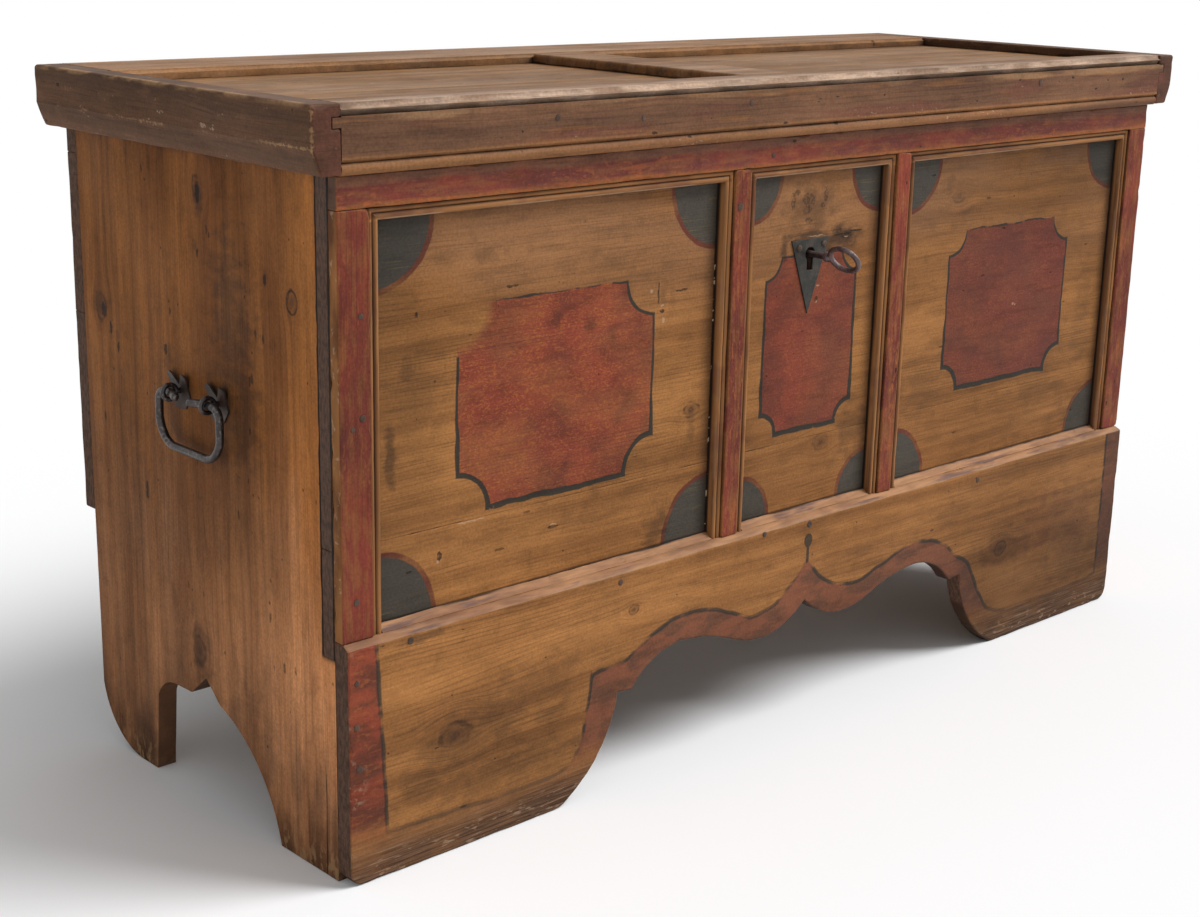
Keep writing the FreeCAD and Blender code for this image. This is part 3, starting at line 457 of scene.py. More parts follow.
PANELS = (
    Panel("left", (-0.542, -0.260, 0.372, 0.594), 0.042, 0.070, 1.0),
    Panel("centre", (-0.075, 0.090, 0.376, 0.594), 0.027, 0.052, 0.45),
    Panel("right", (0.280, 0.546, 0.380, 0.594), 0.033, 0.064, 0.35),
)
LINE_WIDTH = 0.0046
DISC_RIM = 0.0065
LOST_REACH = 0.052
FRONT_KNOTS = (
    (-0.195, 0.431, 0.009), (0.291, 0.640, 0.009), (0.040, 0.352, 0.010), (0.437, 0.416, 0.004),
    (0.067, 0.478, 0.005),
)
FRONT_STAINS = (
    (-0.629, 0.452, 0.010, 0.040, 1.0), (-0.600, 0.500, 0.050, 0.040, 0.30),
    (-0.36, 0.335, 0.05, 0.02, 0.25), (-0.606, 0.536, 0.013, 0.018, 0.6),
    (-0.505, 0.642, 0.022, 0.012, 0.45), (-0.324, 0.617, 0.03, 0.012, 0.35),
    (-0.406, 0.561, 0.013, 0.012, 0.6), (-0.356, 0.549, 0.013, 0.012, 0.7),
    (-0.344, 0.356, 0.012, 0.010, 0.5), (-0.248, 0.295, 0.022, 0.030, 0.8),
    (-0.195, 0.415, 0.008, 0.030, 0.5), (-0.247, 0.572, 0.007, 0.020, 0.5),
    (0.0, 0.650, 0.055, 0.040, 0.7), (0.060, 0.608, 0.045, 0.017, 1.2),
    (-0.045, 0.602, 0.008, 0.022, 1.1), (0.000, 0.617, 0.050, 0.007, 1.1),
    (0.10, 0.36, 0.035, 0.05, 0.6), (0.24, 0.39, 0.06, 0.05, 0.35), (0.269, 0.656, 0.02, 0.012, 0.5),
    (0.50, 0.36, 0.08, 0.035, 0.3), (0.60, 0.45, 0.03, 0.10, 0.3), (0.60, 0.31, 0.05, 0.03, 0.4),
)
FRONT_CUTS = (
    (-0.2535, 0.574, 0.0012, 0.013), (-0.248, 0.5535, 0.0040, 0.0018), (-0.217, 0.574, 0.010, 0.0010),
    (-0.595, 0.591, 0.0022, 0.003), (-0.470, 0.607, 0.008, 0.0014), (-0.408, 0.331, 0.008, 0.0016),
    (-0.566, 0.330, 0.0028, 0.005), (0.060, 0.612, 0.015, 0.0013), (0.086, 0.6145, 0.012, 0.0009),
    (0.0165, 0.5365, 0.0025, 0.0035),
)
LOCK_SCARS = (
    (-0.033, 0.660, 0.0040, 0.0110), (-0.028, 0.669, 0.0060, 0.0032), (0.025, 0.661, 0.0038, 0.0120),
    (0.021, 0.651, 0.0042, 0.0036), (-0.005, 0.660, 0.0110, 0.0075), (-0.007, 0.648, 0.0085, 0.0060),
    (-0.003, 0.634, 0.0070, 0.0036), (0.050, 0.617, 0.0100, 0.0030), (0.070, 0.609, 0.0140, 0.0026),
)
FRONT_CHIPS = (
    (-0.2645, 0.578, 0.0022, 0.0022), (-0.248, 0.560, 0.0030, 0.0015), (-0.245, 0.543, 0.0022, 0.0032),
    (-0.522, 0.361, 0.018, 0.0008), (-0.407, 0.3340, 0.005, 0.0008), (-0.568, 0.325, 0.0018, 0.0018),
    (0.012, 0.6145, 0.016, 0.0009), (0.0665, 0.609, 0.004, 0.0007), (0.430, 0.4815, 0.0026, 0.0018),
    (0.434, 0.480, 0.0016, 0.0014), (0.019, 0.553, 0.003, 0.0010), (0.0175, 0.5335, 0.0016, 0.0016),
)


def front_ornament(p):
    """Where the front is painted: red fills, their wear, dark lines, dark discs and their red rims."""
    shaky_x = p.x + (p.noise(0.035, 21.0, 2.0) - 0.5) * 0.006
    shaky_z = p.z + (p.noise(0.035, 22.0, 2.0) - 0.5) * 0.006
    uneven = (p.noise(0.05, 25.0, 2.0) - 0.5) * 1.6
    fill = wear = line = disc = rim = 0.0
    for panel in PANELS:
        beyond_x = abs(shaky_x - panel.centre_x) - panel.half_x
        beyond_z = abs(shaky_z - panel.centre_z) - panel.half_z
        shape = beyond_x.highest(beyond_z).highest(panel.corner - p.length(beyond_x, beyond_z))
        inside = shape.step(0.0007, -0.0007)
        fill = inside.highest(fill)
        wear = (inside * panel.wear).highest(wear)
        upwards = (p.z - panel.centre_z) / panel.half_z
        taper = upwards.step(0.0, -1.0) * 0.6 - upwards.step(0.8, 1.0) * 0.45
        thick = LINE_WIDTH * 0.5 * (0.85 + taper + uneven)
        line = (abs(shape) - thick).step(0.0006, -0.0006).highest(line)
        corner_x = (shaky_x - panel.left).lowest(panel.right - shaky_x)
        corner_z = (shaky_z - PANEL_FOOT).lowest(PANEL_TOP - shaky_z)
        away = p.length(corner_x, corner_z)
        here = corner_x.step(-0.02, -0.018) * corner_z.step(-0.02, -0.018)
        disc = (away.step(panel.disc + 0.0008, panel.disc - 0.0008) * here).highest(disc)
        rim = (away.step(panel.disc + DISC_RIM, panel.disc + DISC_RIM - 0.0015) * here).highest(rim)
    return fill, wear, line, disc, rim


def panel_gaps(p):
    """Black joints along the panels' right mouldings and the ledge, those beside the right mouldings partly
    painted shade, and a band of painted shadow beside them.
    """
    ragged = p.noise((0.01, 0.01, 0.02), 33.0, 3.0) * 0.0030
    joint = abs(p.z - PANEL_FOOT).step(0.0034, 0.0010) * 0.8
    below = p.z.step(RAIL_FOOT + 0.002, RAIL_FOOT)
    painted_shadow = 0.0
    for panel in PANELS:
        aside = abs(p.x - panel.right)
        joint = ((aside - ragged).step(0.0022, 0.0004) * below).highest(joint)
        # Painted shadow: a dark band on the panel to the left of each right moulding.
        painted_shadow = (aside.step(0.026, 0.002) * below).highest(painted_shadow)
    return joint, painted_shadow


def front_ochre(p, grain):
    """Ochre ground of the front, greyed above."""
    ochre = grain.colour(OCHRE_PALE, OCHRE_DARK)
    greyed = p.z.step(0.50, 0.66) * p.noise((0.3, 0.2, 0.12), 28.0, 3.0).step(0.32, 0.6)
    greyed = greyed * (0.55 + p.x.step(0.1, 0.4) * 0.35)
    return p.mix(greyed, ochre, p.shade(OCHRE_GREY, 1.1 - grain.hair * 0.2))


def front_red(p, wear, mottle):
    """Red of the cartouches: mottled, purple to the right and thin in flecks."""
    speck = p.noise((0.010, 0.010, 0.0048), 23.0, 4.0, twist=2.6)
    red = p.mix(mottle.step(0.40, 0.66) * 0.8, RED, RED_DARK)
    red = p.mix(p.x.step(-0.2, 0.2) * 0.65, red, RED_PURPLE)
    thin = speck.step(0.52, 0.60) * (0.42 + 0.55 * mottle.step(0.62, 0.40))
    return p.mix(wear * thin, red, ORANGE)


def front_marks(p, grain):
    """Lays what the years left on the front, from stains to cuts, then painted shade to the right and beside
    the right mouldings and painted light low on the left; gives its dents and cuts.
    """
    p.lay(spots(p, p.x, p.z, FRONT_STAINS, 30.0) * 0.6, DIRT_AND_SHADE)
    # Painted shade: the front darker towards the right, and more so above.
    painted_shade_right = 0.12 + p.z.step(0.5, 0.68) * 0.28
    p.tone(1.02 - p.x.step(-0.1, 0.6) * painted_shade_right)
    # Painted light low on the left panel; darker along the far left.
    lit = p.x.step(-0.2, -0.4) * p.z.step(0.37, 0.31) * 0.08
    p.tone(1.0 - p.x.step(-0.53, -0.62) * 0.28 + lit)
    broken = p.noise(0.0034, 37.0, 3.0).step(0.42, 0.56)
    p.lay(marks(p, p.x, p.z, LOCK_SCARS, 38.0) * (0.25 + 0.75 * broken) * 0.6, DIRT_AND_SHADE)
    dents = grain.dashes(0.040, 0.012, 0.10).highest(grain.dashes(0.012, 0.010, 0.05, 5.0))
    p.lay(dents * 0.5, NEAR_BLACK)
    grain.age()
    p.lay(marks(p, p.x, p.z, FRONT_CHIPS, 35.0) * 0.5, PALE_CHIP)
    joint, painted_shadow = panel_gaps(p)
    # Painted shadow beside the right mouldings.
    p.lay(painted_shadow * 0.5, DIRT_AND_SHADE)
    cuts = marks(p, p.x, p.z, FRONT_CUTS, 34.0)
    # Near-black cuts and joints; the joints beside the right mouldings are partly painted shade.
    p.lay((cuts * (0.45 + broken * 0.35)).highest(joint * 0.9), NEAR_BLACK)
    crumbs = abs(p.x - PANELS[0].right + 0.0015).step(0.0016, 0.0008)
    p.lay(crumbs * p.noise((0.02, 0.02, 0.009), 36.0).step(0.60, 0.66) * 0.8, PALE_CHIP)
    return dents, cuts


def front_edges(p, grain):
    """Lays bare wood behind the front, end grain at its ends and an open joint beside the stiles."""
    p.lay(p.to_back.step(0.5, 0.7), grain.colour(BARE_PALE, BARE_BROWN))
    end_grain(p, p.to_right, 32.0)
    split = (p.y - FRONT_FACE - p.noise((0.02, 0.02, 0.05), 38.0, 3.0) * 0.005).step(0.0006, -0.0008)
    p.lay(split * abs(p.to_right).step(0.6, 0.8), NEAR_BLACK)


def front_paint():
    """Ochre boards with red cartouches in dark outlines and dark quarter discs in the panels' corners."""
    p = Paint("front_paint")
    grain = Grain(p, p.x, p.z, p.y, 3.0, 0.0042, FRONT_KNOTS)
    ochre = front_ochre(p, grain)
    fill, wear, line, disc, rim = front_ornament(p)
    mottle = p.noise((0.06, 0.05, 0.04), 24.0, 5.0)
    first = PANELS[0]
    lost = p.length(p.x - (first.centre_x - first.half_x), p.z - (first.centre_z + first.half_z))
    lost = lost + (mottle - 0.5) * 0.020
    red = front_red(p, wear, mottle)
    dull = p.noise((0.16, 0.10, 0.10), 29.0, 3.0).step(0.42, 0.62)
    red = p.mix(wear * dull * 0.30, red, ochre)
    red = p.mix(grain.lines * 0.25 + grain.hair * 0.25, red, RED_DARK)
    red = p.mix(lost.step(LOST_REACH + 0.001, LOST_REACH - 0.011) * 0.75, red, ochre)
    p.colour = p.mix(fill * 0.96, ochre, red)
    p.lay(rim * (0.45 + 0.45 * mottle.step(0.3, 0.6)), RED_DARK)
    brushed = p.noise((0.05, 0.05, 0.0022), 27.0, 3.0).step(0.54, 0.72) * mottle.step(0.45, 0.62)
    p.lay(disc * 0.97, p.mix(brushed * 0.8, DISC_DARK, DISC_OLIVE))
    upper = p.z.step(0.58, 0.592)
    gone = p.noise(0.02, 26.0, 4.0).step(0.27 + upper * 0.14, 0.36 + upper * 0.14)
    line = line * (1 - lost.step(LOST_REACH, LOST_REACH - 0.002)) * gone
    p.lay(line * 0.95, LINE_DARK)
    dents, cuts = front_marks(p, grain)
    front_edges(p, grain)
    relief = grain.relief() + fill * 0.00008 + line * 0.00010 - dents * 0.0006 - cuts * 0.0012
    return p.finish(0.50 + grain.blotch * 0.10 + dents * 0.2, relief)


# Painted apron: heights of the dark line over the distance from the middle, on the left and on the right
LINE_SPAN = APRON_HIGH.x
LINE_REACH = APRON_HIGH.z
STRIP_PLACE = 0.664
STRIP_LEAN = 0.055
BULB_PLACE = (0.001, 0.236)
BULB_RADIUS = 0.0082
STEM_FOOT = 0.205
LEFT_LINE = (
    (0.0, 0.212), (0.010, 0.200), (0.031, 0.182), (0.062, 0.163), (0.095, 0.158), (0.130, 0.170),
    (0.171, 0.185), (0.212, 0.190), (0.255, 0.182), (0.290, 0.166), (0.318, 0.154), (0.360, 0.151),
    (0.367, 0.124), (0.373, 0.096), (0.385, 0.062), (0.408, 0.046), (0.466, 0.043), (0.565, 0.046),
    (0.70, 0.052),
)
RIGHT_LINE = (
    (0.0, 0.212), (0.010, 0.200), (0.031, 0.181), (0.067, 0.163), (0.104, 0.160), (0.147, 0.171),
    (0.198, 0.185), (0.225, 0.187), (0.251, 0.184), (0.286, 0.170), (0.310, 0.150), (0.337, 0.135),
    (0.354, 0.112), (0.376, 0.077), (0.405, 0.050), (0.450, 0.040), (0.520, 0.038), (0.628, 0.043),
    (0.70, 0.050),
)
APRON_RED_STAINS = ((0.52, 0.16, 0.10, 0.05, 0.5), (0.60, 0.14, 0.05, 0.06, 0.4))
APRON_KNOTS = ((-0.561, 0.134, 0.015), (0.415, 0.138, 0.010), (-0.30, 0.215, 0.006))
APRON_STAINS = (
    (-0.56, 0.130, 0.07, 0.05, 0.5), (-0.45, 0.165, 0.09, 0.035, 0.4), (-0.50, 0.075, 0.15, 0.03, 0.5),
    (-0.505, 0.140, 0.05, 0.04, 0.6), (-0.600, 0.092, 0.05, 0.03, 0.55),
    (-0.43, 0.12, 0.03, 0.012, 0.5), (0.44, 0.14, 0.09, 0.035, 0.45), (0.56, 0.15, 0.10, 0.06, 0.40),
    (0.60, 0.09, 0.09, 0.05, 0.40), (0.30, 0.215, 0.06, 0.02, 0.3), (0.10, 0.20, 0.04, 0.012, 0.4),
    (-0.605, 0.256, 0.035, 0.006, 0.8),
)


def apron_distance(p, x, z):
    """About the distance above the dark line that follows the scallops, across the line."""
    slant = 0.002
    heights = []
    for shift in (-slant, 0.0, slant):
        along = (abs(x) + shift) / LINE_SPAN
        sides = []
        for points in (LEFT_LINE, RIGHT_LINE):
            shares = [(place / LINE_SPAN, height / LINE_REACH) for place, height in points]
            sides.append(p.curve(shares, along))
        side = x.step(-0.001, 0.001)
        heights.append((sides[0] * (1 - side) + sides[1] * side) * LINE_REACH)
    slope = (heights[2] - heights[0]) / (2 * slant)
    return (z - heights[1]) / (slope * slope + 1).power(0.5)


def apron_feet(p, patchy):
    """Lays worn, split and chipped wood along the feet and the left end; gives its relief and its share."""
    splits = p.noise((0.06, 0.05, 0.0019), 52.0, 4.0)
    raw = p.z.step(0.060, 0.014) * (0.65 + 0.35 * patchy.step(0.35, 0.6))
    p.lay(raw * 0.80, p.mix(splits.step(0.44, 0.62) * 0.85, FOOT_BROWN, NEAR_BLACK))
    p.lay(splits.step(0.40, 0.32) * p.z.step(0.050, 0.018) * 0.55, FOOT_PALE)
    chips = p.noise((0.014, 0.014, 0.004), 49.0, 4.0).step(0.60, 0.67) * p.z.step(0.040, 0.010)
    corner = p.x.step(-0.672, -0.694) * p.noise(0.008, 53.0, 4.0).step(0.52, 0.62)
    chips = chips.highest(corner * p.noise(0.05, 54.0, 3.0).step(0.45, 0.62))
    p.lay(chips * 0.6, FOOT_PALE)
    return raw * splits * 0.0020, raw


def apron_ledge(p, grain, wear, patchy):
    """Lays the bare ledge on top and the pale arris below it."""
    ledge = p.mix(grain.cloud * 0.5 + grain.streak * 0.3, LEDGE_PALE, LEDGE_BROWN)
    ledge = p.mix(p.noise((0.10, 0.012, 0.05), 50.0, 4.0).step(0.53, 0.64) * 0.75, ledge, LEDGE_STAIN)
    ledge = p.shade(ledge, 0.86 + grain.fibre * 0.26)
    ledge = p.mix(p.y.step(APRON_HIGH.y - 0.0025, APRON_HIGH.y) * patchy.step(0.35, 0.6), ledge, DIRT_AND_SHADE)
    p.lay(p.to_top.step(0.5, 0.75) * p.z.step(0.25, 0.26), ledge)
    arris = p.z.step(APRON_HIGH.z - 0.0065, APRON_HIGH.z - 0.0045) * wear.step(0.40, 0.58)
    p.lay(arris * p.to_top.step(0.75, 0.5) * 0.6, PALE_CHIP)


def apron_paint():
    """Ochre apron with a red border along the scallops and ends, set off by a dark line."""
    p = Paint("apron_paint")
    grain = Grain(p, p.x, p.z, p.y, 41.0, 0.0055, APRON_KNOTS)
    ochre = grain.colour(OCHRE_PALE, OCHRE_DARK)
    shaky_x = p.x + (p.noise(0.03, 42.0, 2.0) - 0.5) * 0.006
    shaky_z = p.z + (p.noise(0.03, 43.0, 2.0) - 0.5) * 0.006
    above = apron_distance(p, shaky_x, shaky_z)
    left_strip = shaky_x - (-STRIP_PLACE + (APRON_HIGH.z - p.z) * STRIP_LEAN)
    field = above.lowest(left_strip).lowest(STRIP_PLACE - shaky_x)
    wear = p.noise((0.05, 0.05, 0.02), 44.0, 4.0)
    patchy = p.noise(0.07, 45.0, 3.0)
    in_strip = left_strip.step(0.002, -0.002)
    bright, dark = p.mix(in_strip, BORDER_RED, RED), p.mix(in_strip, BORDER_DARK, RED_DARK)
    red = p.mix(wear.step(0.4, 0.62), bright, dark)
    red = p.mix(p.x.step(0.1, 0.6) * 0.7, red, BORDER_DARK)
    flecks = p.noise((0.012, 0.012, 0.005), 46.0, 4.0).step(0.54, 0.68)
    red = p.mix(flecks * (0.22 + in_strip * 0.25), red, ORANGE)
    border = field.step(0.0008, -0.0008)
    low = p.z.step(0.075, 0.040)
    p.colour = p.mix(border * (0.88 - low * 0.72), ochre, red)
    line = (abs(field) - 0.0026).step(0.0012, -0.0012) * wear.step(0.30, 0.52)
    bulb_x, bulb_z = BULB_PLACE
    bulb = p.length(p.x - bulb_x, (p.z - bulb_z) * 0.85).step(BULB_RADIUS, BULB_RADIUS - 0.0012)
    stem = p.z.step(STEM_FOOT, STEM_FOOT + 0.003) * p.z.step(bulb_z + 0.002, bulb_z - 0.004)
    stem = abs(p.x - bulb_x).step(0.0030, 0.0020) * stem
    line = line.highest(bulb).highest(stem)
    p.lay(line * (0.85 - low * 0.4), LINE_DARK)
    p.lay(spots(p, p.x, p.z, APRON_STAINS, 47.0) * 0.55, DIRT_AND_SHADE)
    p.lay(spots(p, p.x, p.z, APRON_RED_STAINS, 48.0) * 0.5, RED_DARK)
    # Painted shade: the apron darker low down and towards the right.
    painted_shade_low = (p.z + (p.noise((0.2, 0.1, 0.1), 55.0, 3.0) - 0.5) * 0.12).step(0.20, 0.10)
    p.tone(1.03 - p.x.step(-0.2, 0.6) * 0.26 - painted_shade_low * 0.26)
    dents = grain.dashes(0.035, 0.012, 0.14).highest(grain.dashes(0.012, 0.010, 0.07, 5.0))
    p.lay(dents * 0.6, NEAR_BLACK)
    grain.age()
    roughened, raw = apron_feet(p, patchy)
    apron_ledge(p, grain, wear, patchy)
    # Painted shade: faces that look down, under the scallops, darkened.
    p.lay(p.to_top.step(-0.25, -0.55) * 0.8, DIRT_AND_SHADE)
    p.lay(p.to_back.step(0.5, 0.7), grain.colour(BARE_BROWN, LID_DARK))
    end_grain(p, p.to_right.step(-0.8, -0.95) + p.to_right.step(0.8, 0.95), 51.0)
    relief = grain.relief() * 1.3 + border * 0.00008 + line * 0.0001 - dents * 0.0007 + roughened
    return p.finish(0.50 + grain.blotch * 0.12 + raw * 0.2, relief)


# Side boards: knots at (Z, Y), other marks at (Y, Z)
SIDE_KNOTS = ((0.701, 0.012, 0.010), (0.541, 0.226, 0.011), (0.606, -0.157, 0.0085), (0.180, 0.040, 0.012))
SIDE_STAINS = (
    (0.012, 0.690, 0.010, 0.022, 0.8), (0.228, 0.548, 0.020, 0.015, 0.5),
    (0.085, 0.512, 0.012, 0.022, 0.45), (0.040, 0.185, 0.022, 0.045, 0.7),
    (-0.045, 0.55, 0.050, 0.13, 0.8), (-0.065, 0.47, 0.04, 0.07, 0.7), (0.02, 0.639, 0.006, 0.010, 0.6),
    (-0.110, 0.622, 0.005, 0.012, 0.6), (0.191, 0.514, 0.006, 0.014, 0.6),
    (0.140, 0.344, 0.006, 0.02, 0.5), (-0.06, 0.10, 0.06, 0.08, 0.35), (0.16, 0.03, 0.06, 0.03, 0.4),
)
SIDE_BRUISES = (
    (0.012, 0.696, 0.0042, 0.0105), (0.220, 0.538, 0.0045, 0.0085), (0.206, 0.520, 0.0025, 0.0080),
    (-0.110, 0.622, 0.0028, 0.0060), (0.191, 0.500, 0.0022, 0.0060), (0.088, 0.516, 0.0030, 0.0060),
    (0.016, 0.632, 0.0018, 0.0050), (0.140, 0.344, 0.0026, 0.0110), (-0.104, 0.560, 0.0016, 0.0050),
)
PEG_PLACE = (-0.157, 0.606)
PEG_RADIUS = 0.0095
JOINT_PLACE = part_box("front_board_upper")[1].y


def side_finish():
    """Waxed softwood sides with upright grain, redder above and tan below, bare inside."""
    p = Paint("side_wood")
    grain = Grain(p, p.z, p.y, p.x, 61.0, 0.016, SIDE_KNOTS)
    rise = (p.z + (p.noise((0.2, 0.05, 0.25), 69.0, 3.0) - 0.5) * 0.4).step(0.12, 0.52)
    p.colour = grain.colour(p.mix(rise, SIDE_TAN, SIDE_AMBER), p.mix(rise, SIDE_BROWN, SIDE_RED), lines=0.20)
    broad = p.noise((0.2, 0.05, 0.7), 62.0, 5.0).step(0.34, 0.66)
    p.tone(0.83 + broad * 0.32)
    # Lighter towards the front edge and low down, darker near the top.
    paler_front_and_low = p.y.step(-0.06, -0.19) * (0.40 + p.z.step(0.60, 0.35) * 0.40) + p.z.step(0.34, 0.14) * 0.34
    p.tone(1.0 + paler_front_and_low - p.z.step(0.60, 0.75) * 0.08)
    p.lay(spots(p, p.y, p.z, SIDE_STAINS, 63.0) * 0.6, DIRT_AND_SHADE)
    ring = p.length(p.y - PEG_PLACE[0], (p.z - PEG_PLACE[1]) * 0.8)
    p.lay(abs(ring - PEG_RADIUS).step(0.0014, 0.0005) * 0.7, DIRT_AND_SHADE)
    foot = p.z.step(0.26, 0.03) * (0.20 + 0.45 * p.noise((0.1, 0.03, 0.12), 71.0, 4.0).step(0.40, 0.62))
    p.lay(foot, FOOT_BROWN)
    dents = grain.dashes(0.05, 0.018, 0.30).highest(grain.dashes(0.014, 0.011, 0.15, 5.0))
    bruises = marks(p, p.y, p.z, SIDE_BRUISES, 70.0)
    p.lay((dents * 0.6).highest(bruises * 0.75), NEAR_BLACK)
    low = p.z.step(0.12, 0.0) * p.noise((0.05, 0.02, 0.10), 64.0, 4.0).step(0.34, 0.56)
    p.lay(low * 0.7, p.mix(0.5, DIRT_AND_SHADE, SIDE_RED))
    grain.age()
    chips = p.noise((0.02, 0.006, 0.014), 65.0, 4.0)
    rim = abs(p.to_right).step(0.98, 0.88) * abs(p.to_right).step(0.10, 0.30) * p.z.step(0.30, 0.10)
    chipped = (chips.step(0.52, 0.60) * p.z.step(0.045, 0.006)).highest(rim * chips.step(0.44, 0.56))
    p.lay(chipped * 0.65, RAW_EDGE)
    crack = (p.y - JOINT_PLACE - p.noise((0.01, 0.01, 0.03), 67.0, 3.0) * 0.004).step(0.0008, -0.0006)
    p.lay(crack * p.z.step(0.24, 0.25), NEAR_BLACK)
    splits = abs(p.y + 0.207 - p.noise((0.02, 0.02, 0.12), 68.0, 2.0) * 0.012).step(0.0014, 0.0004)
    p.lay(splits * p.z.step(0.13, 0.10) * 0.8, NEAR_BLACK)
    within = p.to_right * p.x.step(0.05, -0.05) - p.to_right * p.x.step(-0.05, 0.05)
    p.lay(within.step(0.5, 0.7), grain.colour(BARE_PALE, BARE_BROWN))
    end_grain(p, p.to_top, 66.0)
    p.lay(abs(p.to_back).step(0.5, 0.8) * 0.7, END_GRAIN)
    relief = grain.relief() + broad * 0.0003 - dents * 0.0006
    return p.finish(0.50 + grain.blotch * 0.12, relief, gloss=0.07)


# Frame: heights of wear on the top rail, and where the outer sides start
RAIL_WORN_FOOT = 0.7195
RAIL_WORN_HEAD = 0.7215
OUTER_SIDE = 0.693


def red_member(name, seed, upright, purple=0.4, level=1.0, wear=1.0):
    """Brick-red frame member, worn to its ground in flecks, with an unpainted outer side."""
    p = Paint(name)
    u, v = (p.z, p.x) if upright else (p.x, p.z)
    grain = Grain(p, u, v, p.y, seed, 0.006)
    red = p.mix(grain.blotch, RED, RED_DARK)
    red = p.mix(purple * (0.4 + 0.6 * grain.cloud), red, RED_PURPLE)
    fleck = p.noise((0.014, 0.0050, 0.01), seed + 11, 4.0, grain.point, 1.2)
    scuff = p.noise((0.09, 0.010, 0.05), seed + 12, 5.0, grain.point)
    bare = fleck.step(0.55, 0.66).highest(scuff.step(0.57, 0.68)) * (0.30 + 0.70 * grain.blotch)
    ground = grain.colour(OCHRE, OCHRE_DARK)
    rubbed = p.noise((0.040, 0.010, 0.02), seed + 13, 6.0, grain.point).step(0.44, 0.62)
    p.colour = p.mix(rubbed * (0.46 * wear), red, ground)
    p.lay(bare * (0.70 * wear), ORANGE)
    p.lay(grain.lines * 0.35, RED_DARK)
    if not upright:
        foot = (p.z + scuff * 0.012).step(RAIL_WORN_FOOT, RAIL_WORN_FOOT - 0.0065)
        p.lay(foot * 0.75, p.mix(fleck.step(0.4, 0.6), ground, ORANGE))
        head = (p.z - scuff * 0.010).step(RAIL_WORN_HEAD, RAIL_WORN_HEAD + 0.005)
        p.lay(head * 0.45, p.shade(RAIL_BARE, 0.75 + grain.fibre * 0.4))
    dents = grain.dashes(0.03, 0.015, 0.22)
    p.lay(dents * 0.7, NEAR_BLACK)
    edge = abs(p.to_right).highest(abs(p.to_top)).step(0.2, 0.5)
    p.lay(edge * scuff.step(0.38, 0.54) * 0.7, ground)
    p.tone(level)
    grain.age()
    outer = abs(p.to_right).step(0.85, 0.97) * abs(p.x).step(OUTER_SIDE, OUTER_SIDE + 0.005)
    if upright:
        side = p.mix(scuff.step(0.40, 0.60), p.shade(ground, 1.15), SIDE_RED)
        side = p.mix(fleck.step(0.60, 0.66) * 0.5, side, PALE_CHIP)
    else:
        side = p.mix(grain.cloud, END_GRAIN, END_GRAIN_DARK)
    p.lay(outer, side)
    return p.finish(0.52 + grain.blotch * 0.1, grain.relief() - dents * 0.0006)


def moulding_finish():
    """Ochre-brown panel mouldings with a dark quirk along the middle, rubbed on the round, with painted
    shade in the quirk, at the foot and in the corners.
    """
    p = Paint("moulding_paint")
    asides = [(p.x - panel.left).lowest(panel.right - p.x) for panel in PANELS]
    across = reduce(Field.highest, asides)
    inset = -1.0 * across.lowest(PANEL_TOP - p.z)
    proud = FRONT_FACE - p.y
    upright = p.z.step(PANEL_TOP, PANEL_TOP - 0.001)
    long_grain = p.noise((0.25, 0.006, 0.006), 81.0, 4.0)
    tall_grain = p.noise((0.006, 0.006, 0.25), 82.0, 4.0)
    streak = (long_grain * (1 - upright) + tall_grain * upright).step(0.34, 0.66)
    p.colour = p.mix(streak, MOULDING_BROWN, MOULDING_DARK)
    patch = p.noise(0.05, 83.0, 4.0)
    p.lay(patch.step(0.50, 0.66) * 0.35, RED_DARK)
    rub = p.to_back.step(-0.6, -0.97) * patch.step(0.62, 0.4)
    p.lay(rub * 0.30, OCHRE_PALE)
    arris = abs(inset - 0.0012).step(0.0014, 0.0004) * proud.step(0.0050, 0.0070)
    p.lay(arris * patch.step(0.40, 0.58) * (0.55 - upright * 0.40), PALE_CHIP)
    quirk = abs(inset - MOULDING_WIDTH * (1 - QUIRK_SHARE)).step(0.0012, 0.0004)
    joint = inset.step(MOULDING_WIDTH - 0.0012, MOULDING_WIDTH - 0.0004)
    foot = proud.step(0.0030, 0.0008)
    # Dirt and painted shade darken the quirk's groove.
    p.lay(quirk * 0.5, DIRT_AND_SHADE)
    # The joint against the frame is near black; so is the foot against the panel, as painted shade.
    p.lay(joint.highest(foot) * 0.85, NEAR_BLACK)
    # Painted shade with some dirt: darker where the moulding is hidden from the sky.
    grime_and_shade = p.crevice(0.014).step(0.15, 0.8)
    p.lay(grime_and_shade * 0.4, DIRT_AND_SHADE)
    relief = streak * 0.0002 + patch * 0.0004
    return p.finish(0.50 + patch * 0.15, relief)


# Lid boards: marks at (X, Y)
LID_STAINS = (
    (-0.50, -0.10, 0.10, 0.05, 0.35), (0.30, 0.02, 0.14, 0.06, 0.35), (0.05, -0.10, 0.07, 0.05, 0.4),
    (-0.30, 0.10, 0.12, 0.04, 0.3), (0.55, 0.08, 0.08, 0.07, 0.3), (-0.62, 0.05, 0.05, 0.09, 0.3),
)
LID_KNOTS = ((-0.38, 0.05, 0.012), (0.42, -0.13, 0.014), (0.12, 0.10, 0.010))


